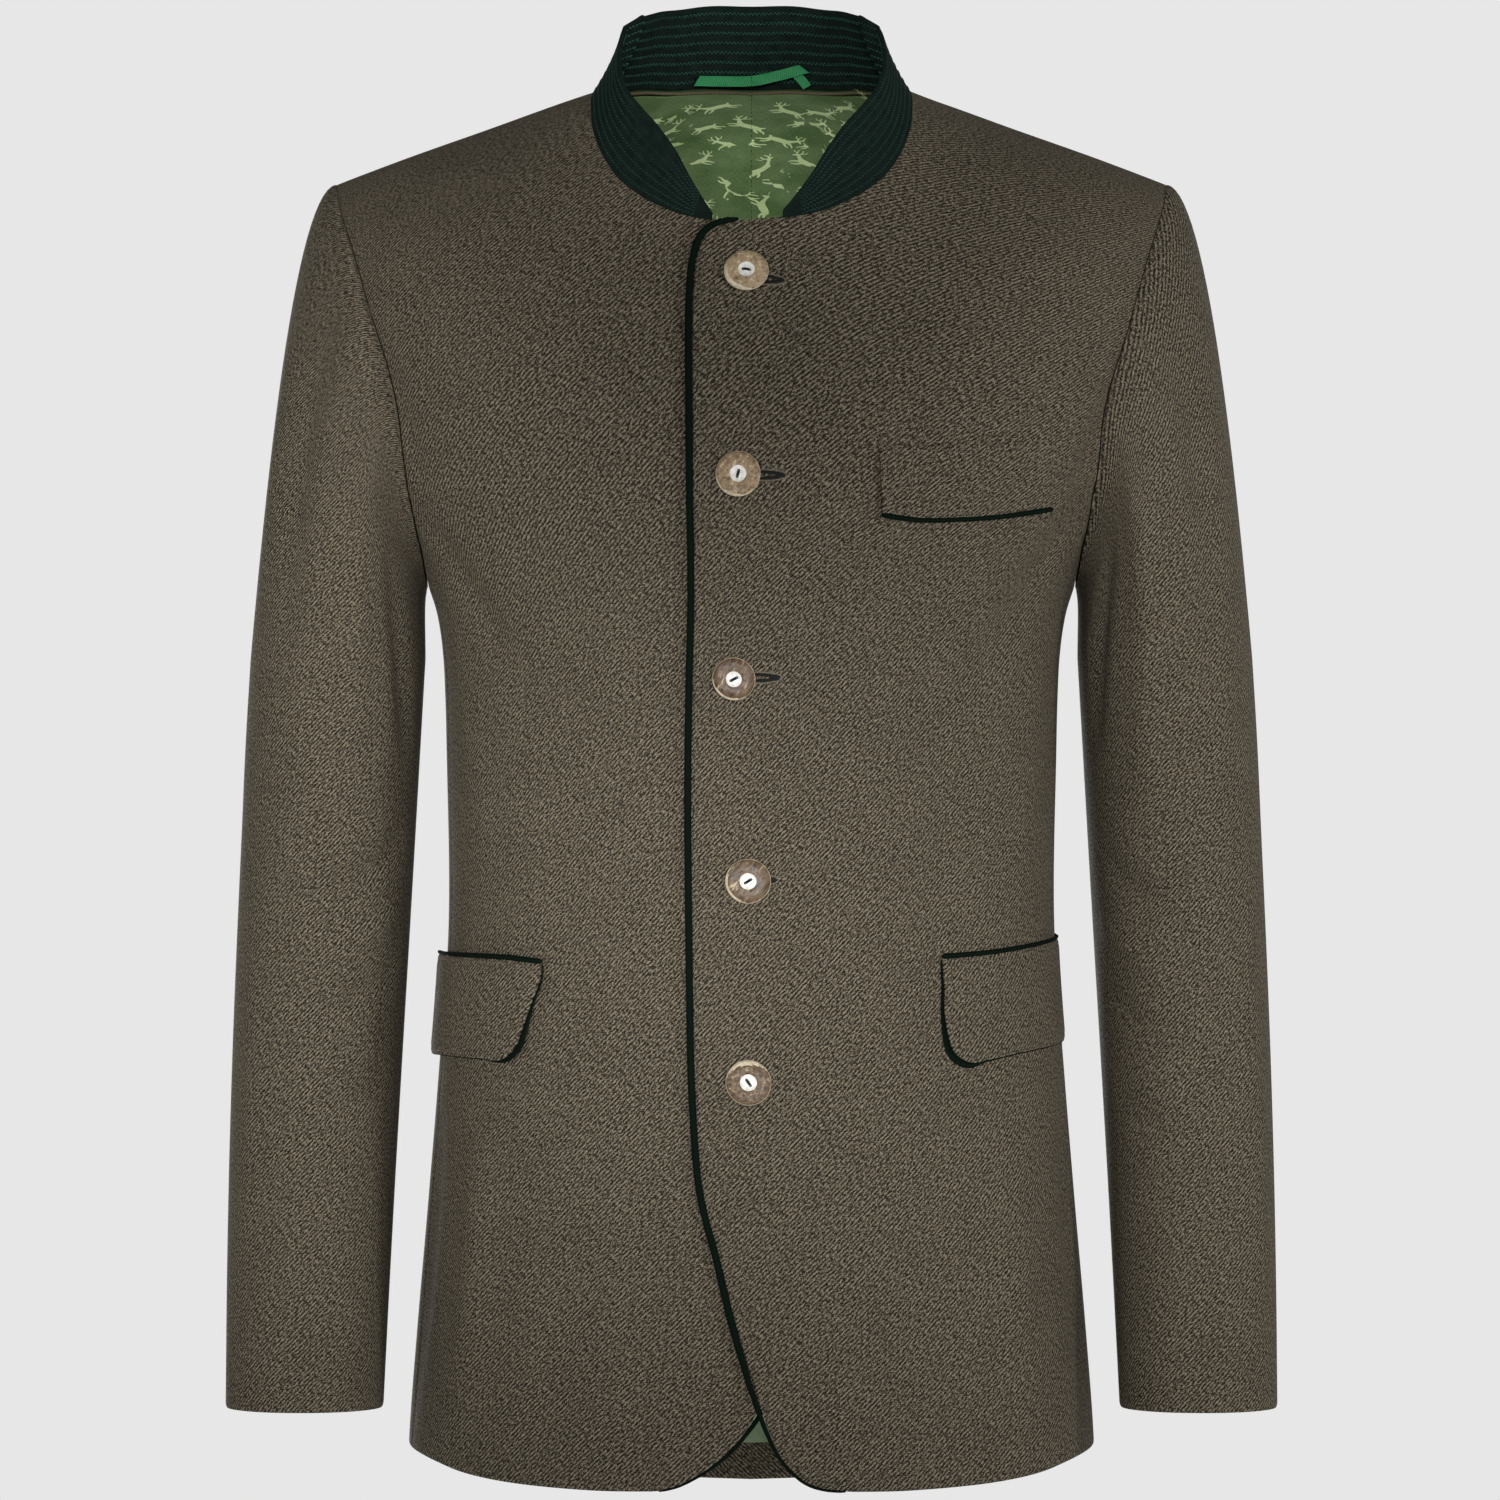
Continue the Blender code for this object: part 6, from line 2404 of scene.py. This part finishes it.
@dataclass
class ButtonPiece:
    """One turned antler button with its thread and buttonhole."""

    number: int
    look: ButtonLook
    sectors: int = 56
    profile: Rows = (
        (0.0, 3.05), (0.30, 3.1), (0.37, 3.45), (0.46, 3.55), (0.80, 3.35), (0.93, 2.75), (1.0, 1.9),
    )
    face_rings: tuple[float, ...] = (
        0.10, 0.20, 0.29, 0.335, 0.37, 0.42, 0.48, 0.55, 0.62, 0.69, 0.76, 0.83, 0.89, 0.94, 0.975, 1.0,
    )
    under_rings: Rows = ((0.985, 1.1), (0.93, 0.5), (0.72, 0.45))
    thread_level: float = 0.00335
    thread_half: float = 0.0019
    thread_apart: float = 0.00042
    holes_half: float = 0.0017
    hole_radius: float = 0.0008
    hole_sides: int = 10
    buttonhole_half: float = 13.0

    @cached_property
    def axes(self) -> tuple[Points, Points, Points, Points]:
        """Middle of its seat, and the directions right, up and out.

        Returns:
            The middle and the three directions.
        """
        t, w = FORM.place(self.look.x / 1000, self.look.z / 1000)
        flat = np.array([[float(t) * FORM.radius, float(w)]])
        seat = FORM.cloth(flat, FORM.lift(flat))[0]
        out = FORM.out(flat)[0]
        right = unit(np.cross(np.array([0.0, 0.0, 1.0]), out))
        return seat, right, np.cross(out, right), out

    def height(self, part: float, angle: float) -> float:
        """Height of the face at a part of the radius, in mm.

        Args:
            part: the part of the radius.
            angle: the way round.

        Returns:
            The height.
        """
        level = float(smooth(self.profile, part))
        x, y = part * math.cos(angle) * 3.4, part * math.sin(angle) * 3.4
        place = Vector((x, y, self.look.finish.shift))
        rough = noise.noise(place) * 0.34 + noise.noise(place * 2.3) * 0.20
        band = max(0.0, min(1.0, (part - 0.40) / 0.08))
        band *= max(0.0, min(1.0, (0.93 - part) / 0.10))
        return level + rough * band

    def disc(self) -> Shape:
        """The turned disc.

        Returns:
            The disc, with the finish numbers of its face, middle and rim.
        """
        seat, right, up, out = self.axes
        radius = self.look.radius / 1000
        rows = [(part, None) for part in self.face_rings] + list(self.under_rings)
        angles = np.arange(self.sectors) * 2 * math.pi / self.sectors
        points, weave = [], []
        for part, level in rows:
            for angle in angles:
                oval = 1 + 0.012 * math.sin(2 * angle + self.look.finish.shift)
                high = (self.height(part, angle) if level is None else level) / 1000
                way = math.cos(angle) * right + math.sin(angle) * up
                points.append(seat + way * radius * part * oval + out * high)
                weave.append((part * radius * math.cos(angle), part * radius * math.sin(angle)))
        points += [seat + out * self.height(0.0, 0.0) / 1000, seat + out * 0.00045]
        weave += [(0.0, 0.0), (0.0, 0.0)]
        faces = grid_faces(len(rows), self.sectors, closed=True)
        kinds = []
        rim = math.radians(self.look.rim_turn)
        for k in range(len(faces)):
            row, sector = divmod(k, self.sectors)
            part = rows[row][0]
            facing = math.cos(angles[sector] - rim)
            reach = 0.96 - self.look.rim_share * max(0.0, facing - 0.35)
            if rows[row][1] is None and part < 0.35:
                kinds.append(1)
            elif row >= len(self.face_rings) - 2 or part > reach:
                kinds.append(2)
            else:
                kinds.append(0)
        top, bottom = len(points) - 2, len(points) - 1
        last = (len(rows) - 1) * self.sectors
        for k in range(self.sectors):
            n = (k + 1) % self.sectors
            faces += [(top, n, k), (bottom, last + k, last + n)]
            kinds += [1, 2]
        return Shape(np.array(points), faces, np.array(weave), kinds)

    def bar(self) -> Shape:
        """The thread that holds the button, through its two holes.

        Returns:
            The thread and the two holes.
        """
        seat, right, up, out = self.axes
        turn = math.radians(self.look.bar_turn)
        way = math.cos(turn) * right + math.sin(turn) * up
        side = np.cross(out, way)
        top = seat + out * self.thread_level
        starts, ends = [], []
        for shift in (-self.thread_apart, 0.0, self.thread_apart):
            starts.append(top + side * shift - way * self.thread_half)
            ends.append(top + side * shift + way * self.thread_half)
        bars = threads(np.array(starts), np.array(ends), np.array([out] * 3), 0.00062, 0.0007)
        count = self.hole_sides
        turns = np.arange(count) * 2 * math.pi / count
        holes = []
        for end in (-1, 1):
            middle = top + way * end * self.holes_half - out * 0.00026
            ring = [middle + self.hole_radius * (math.cos(a) * way + math.sin(a) * side) for a in turns]
            faces = [(count, k, (k + 1) % count) for k in range(count)]
            holes.append(Shape(np.array(ring + [middle - out * 0.0002]), faces))
        return joined([bars, *holes])

    def leaf(self, rim: float, count: int = 48) -> Points:
        """Flat places round the buttonhole's leaf shape, a little outside of its lips.

        Args:
            rim: how far out of the lips, in mm.
            count: how many places each side has.

        Returns:
            The flat places.
        """
        x, z, turn = self.look.hole
        angle = math.radians(turn)
        way = np.array([math.cos(angle), math.sin(angle)])
        side = np.array([-way[1], way[0]])
        at = np.linspace(-1.0, 1.0, count)
        wide = 2.3 * (1 - np.abs(at) ** 2.4) ** 0.6 + 0.15
        half = self.buttonhole_half + rim
        top = [np.array([x, z]) + way * half * a + side * (w + rim) for a, w in zip(at, wide)]
        low = [np.array([x, z]) + way * half * a - side * (w + rim) for a, w in zip(at, wide)]
        return FORM.flat(top + low[::-1])

    def hole(self) -> Shape:
        """The stitched lips of the buttonhole under the button.

        Returns:
            All stitches as one shape.
        """
        outer = self.leaf(0.0)
        inner = self.leaf(-1.75)
        x, z, _ = self.look.hole
        middle = FORM.flat([(x, z)])
        closer = np.abs(inner - middle) < np.abs(outer - middle)
        inner = np.where(closer, inner, outer * 0.9 + middle * 0.1)
        low = FORM.cloth(inner, FORM.lift(inner) - 0.00005)
        high = FORM.cloth(outer, FORM.lift(outer) + 0.00005)
        return threads(low, high, FORM.out(outer), 0.00075, 0.0011)

    def edge(self) -> Shape:
        """The pale ridge of cloth round the lips."""
        line = self.leaf(0.42)
        return tube(FORM.cloth(line, FORM.lift(line)), FORM.out(line), 0.00036, 0.00034, 6)

    def build(self) -> None:
        """Adds the button, its thread and its buttonhole."""
        name = "button_" + str(self.number)
        make_piece("antler_" + name, self.disc(), (self.look.finish, PITH, RIM), name)
        make_piece("thread_" + name, self.bar(), (DARK_THREAD,))
        make_piece("buttonhole_" + str(self.number), self.hole(), (DARK_THREAD,))
        make_piece("buttonhole_rim_" + str(self.number), self.edge(), (CLOTH_THREAD,))


@dataclass
class HangerLoop:
    """The ribbon in the back neck."""

    wide: float = 0.0056
    thick: float = 0.0007
    turned_end: Rows = ((24.3, 59.0, 16.5), (26.8, 58.8, 14.0), (30.1, 58.6, 9.8))

    def build(self) -> None:
        """Adds the ribbon, its right end turned under."""
        line = through(np.array(LOOP) / 1000, 0.0015)
        lengths = lengths_of(line)
        share = lengths / lengths[-1]
        line[:, 1] -= 0.0011 * np.sin(share * math.pi) ** 2 + 0.0004
        along = unit(np.gradient(line, axis=0))
        across = unit(np.cross(along, np.array([0.0, -1.0, 0.0])))
        parts = np.linspace(-1.0, 1.0, 7)
        slant = np.clip(1 - share * 9, 0, 1) * 0.0016 - np.clip(share * 9 - 8, 0, 1) * 0.0022
        rows = []
        for part in parts:
            edge = line + across * self.wide / 2 * part + along * slant[:, None] * -part
            edge[:, 1] += 0.00025 * math.cos(part * 2.2) * np.sin(share * 21.0)
            rows.append(edge)
        rows = np.array(rows)
        front = unit(np.cross(across, along))
        weave = np.stack(np.meshgrid(lengths, parts * self.wide / 2), axis=-1).reshape(-1, 2)
        half = front * self.thick / 2
        sheets = ((rows + half).reshape(-1, 3), (rows - half).reshape(-1, 3))
        shape = shell(*sheets, grid_faces(len(parts), len(line)), weave)
        make_piece("ribbon_hanger_loop", shape, (RIBBON, RIBBON), "hanger_loop")
        fold = through(np.array(self.turned_end) / 1000, 0.0008)
        fold[:, 1] += 0.0006
        side = np.array((0.0021, 0.0, 0.0013))
        rows = np.array([fold - side, fold, fold + side])
        thin = np.array((0.0, -0.00025, 0.0))
        weave = np.stack(np.meshgrid(lengths_of(fold), (0.0, 0.0025, 0.005)), axis=-1)
        sheets = ((rows + thin).reshape(-1, 3), (rows - thin).reshape(-1, 3))
        turned = shell(*sheets, grid_faces(3, len(fold)), weave.reshape(-1, 2))
        make_piece("ribbon_turned_end", turned, (RIBBON, RIBBON))


# Studio


@dataclass(frozen=True)
class SoftLight:
    """One soft light. Its beam is the width of a cone in degrees, or 0 for a bare area."""

    name: str
    place: tuple[float, float, float]
    aim: tuple[float, float, float]
    size: float
    power: float
    beam: float = 0.0

    def build(self) -> None:
        """Adds the light, turned towards its aim."""
        data = bpy.data.lights.new(self.name, "SPOT" if self.beam else "AREA")
        data.energy = self.power
        if self.beam:
            data.spot_size = math.radians(self.beam)
            data.spot_blend = 1.0
            data.shadow_soft_size = self.size
        else:
            data.size = self.size
        light = bpy.data.objects.new(self.name, data)
        light.location = self.place
        light.visible_camera = False
        way = Vector(self.aim) - Vector(self.place)
        light.rotation_euler = way.to_track_quat("-Z", "Y").to_euler()
        bpy.context.scene.collection.objects.link(light)


@dataclass
class Studio:
    """Pale surroundings, soft light and the camera."""

    lens: float = 224.3
    camera_x: float = -0.0008
    distance: float = 5.0
    height: float = -0.349
    horizon: float = 0.800
    zenith: float = 0.13
    floor_z: float = -1.50
    floor_radius: float = 9.0
    floor_sides: int = 96
    lights: tuple[SoftLight, ...] = (
        SoftLight("belly_light", (-0.2, -3.0, -0.60), (-0.075, 0.0, -0.33), 0.12, 96.0, 8.0),
        SoftLight("skirt_light", (0.2, -3.0, -0.70), (0.02, 0.0, -0.62), 0.12, 34.0, 12.0),
        SoftLight("left_sleeve_light", (0.6, -3.0, -0.50), (0.235, 0.0, -0.46), 0.12, 168.0, 15.0),
        SoftLight("right_sleeve_light", (-0.6, -3.0, -0.50), (-0.235, 0.0, -0.46), 0.12, 225.0, 14.0),
        SoftLight("left_shoulder_light", (0.6, -3.0, -0.10), (0.245, 0.0, -0.13), 0.12, 105.0, 8.0),
        SoftLight("right_shoulder_light", (-0.6, -3.0, -0.10), (-0.245, 0.0, -0.13), 0.12, 185.0, 8.0),
        SoftLight("low_light", (0.2, -2.4, -1.30), (0.0, 0.0, -0.5), 1.2, 7.0),
        SoftLight("neck_light", (0.0, -3.6, 0.70), (0.0, 0.05, -0.02), 0.08, 360.0, 3.3),
        SoftLight("right_light", (2.4, -1.9, 0.45), (0.0, 0.0, -0.4), 0.35, 23.0),
        SoftLight("left_light", (-2.4, -1.9, 0.45), (0.0, 0.0, -0.4), 0.6, 6.0),
        SoftLight("back_light", (-0.5, 2.8, -0.7), (0.0, 0.0, -0.4), 1.5, 60.0),
    )

    def surroundings(self) -> None:
        """Makes the pale world and the floor."""
        world = bpy.data.worlds.new("pale_studio")
        world.use_nodes = True
        tree = world.node_tree
        place = tree.nodes.new("ShaderNodeTexCoord")
        parts = tree.nodes.new("ShaderNodeSeparateXYZ")
        ramp = tree.nodes.new("ShaderNodeValToRGB")
        band = ramp.color_ramp.elements
        band.new(0.5)
        tones = (self.horizon, self.zenith * 1.5, self.zenith)
        for element, position, tone in zip(band, (0.14, 0.30, 0.9), tones):
            element.position = position
            element.color = (tone, tone, tone * 0.998, 1.0)
        tree.links.new(place.outputs["Generated"], parts.inputs[0])
        tree.links.new(parts.outputs["Z"], ramp.inputs[0])
        tree.links.new(ramp.outputs[0], tree.nodes["Background"].inputs["Color"])
        bpy.context.scene.world = world
        count = self.floor_sides
        radius = self.floor_radius
        turns = [k * 2 * math.pi / count for k in range(count)]
        ring = [(radius * math.cos(a), radius * math.sin(a), self.floor_z) for a in turns]
        mesh = bpy.data.meshes.new("floor")
        mesh.from_pydata(ring, [], [tuple(range(count))])
        nodes = Nodes("floor_paper", Roughness=0.95, Specular_IOR_Level=0.1)
        grain = nodes.noise(nodes.room(), 40.0)
        paper = nodes.ramp(grain, ((0.3, (0.86, 0.86, 0.86)), (0.7, (0.9, 0.9, 0.9))))
        mesh.materials.append(nodes.finish(paper, grain, 0.0005, 0.1))
        floor = bpy.data.objects.new("floor", mesh)
        bpy.context.scene.collection.objects.link(floor)

    def build(self) -> None:
        """Adds everything round the jacket."""
        scene = bpy.context.scene
        scene.view_settings.view_transform = "Standard"
        self.surroundings()
        for light in self.lights:
            light.build()
        data = bpy.data.cameras.new("camera")
        data.lens = self.lens
        data.sensor_width = 36.0
        camera = bpy.data.objects.new("camera", data)
        camera.location = (self.camera_x, -self.distance, self.height)
        camera.rotation_euler = (math.pi / 2, 0.0, 0.0)
        scene.collection.objects.link(camera)
        scene.camera = camera


def main() -> None:
    """Builds the jacket piece by piece; each piece logs its count of faces."""
    logging.basicConfig(level=logging.INFO, format="%(name)s: %(message)s")
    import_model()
    Studio().build()
    Body().build()
    Sleeve("left", SLEEVE_FOLDS_LEFT).build()
    Sleeve("right", SLEEVE_FOLDS_RIGHT).build()
    BackLining().build()
    Collar().build()
    Pockets().build()
    FrontEdges().build()
    HangerLoop().build()
    for number, look in enumerate(BUTTONS, start=1):
        ButtonPiece(number, look).build()


if __name__ == "__main__":
    main()
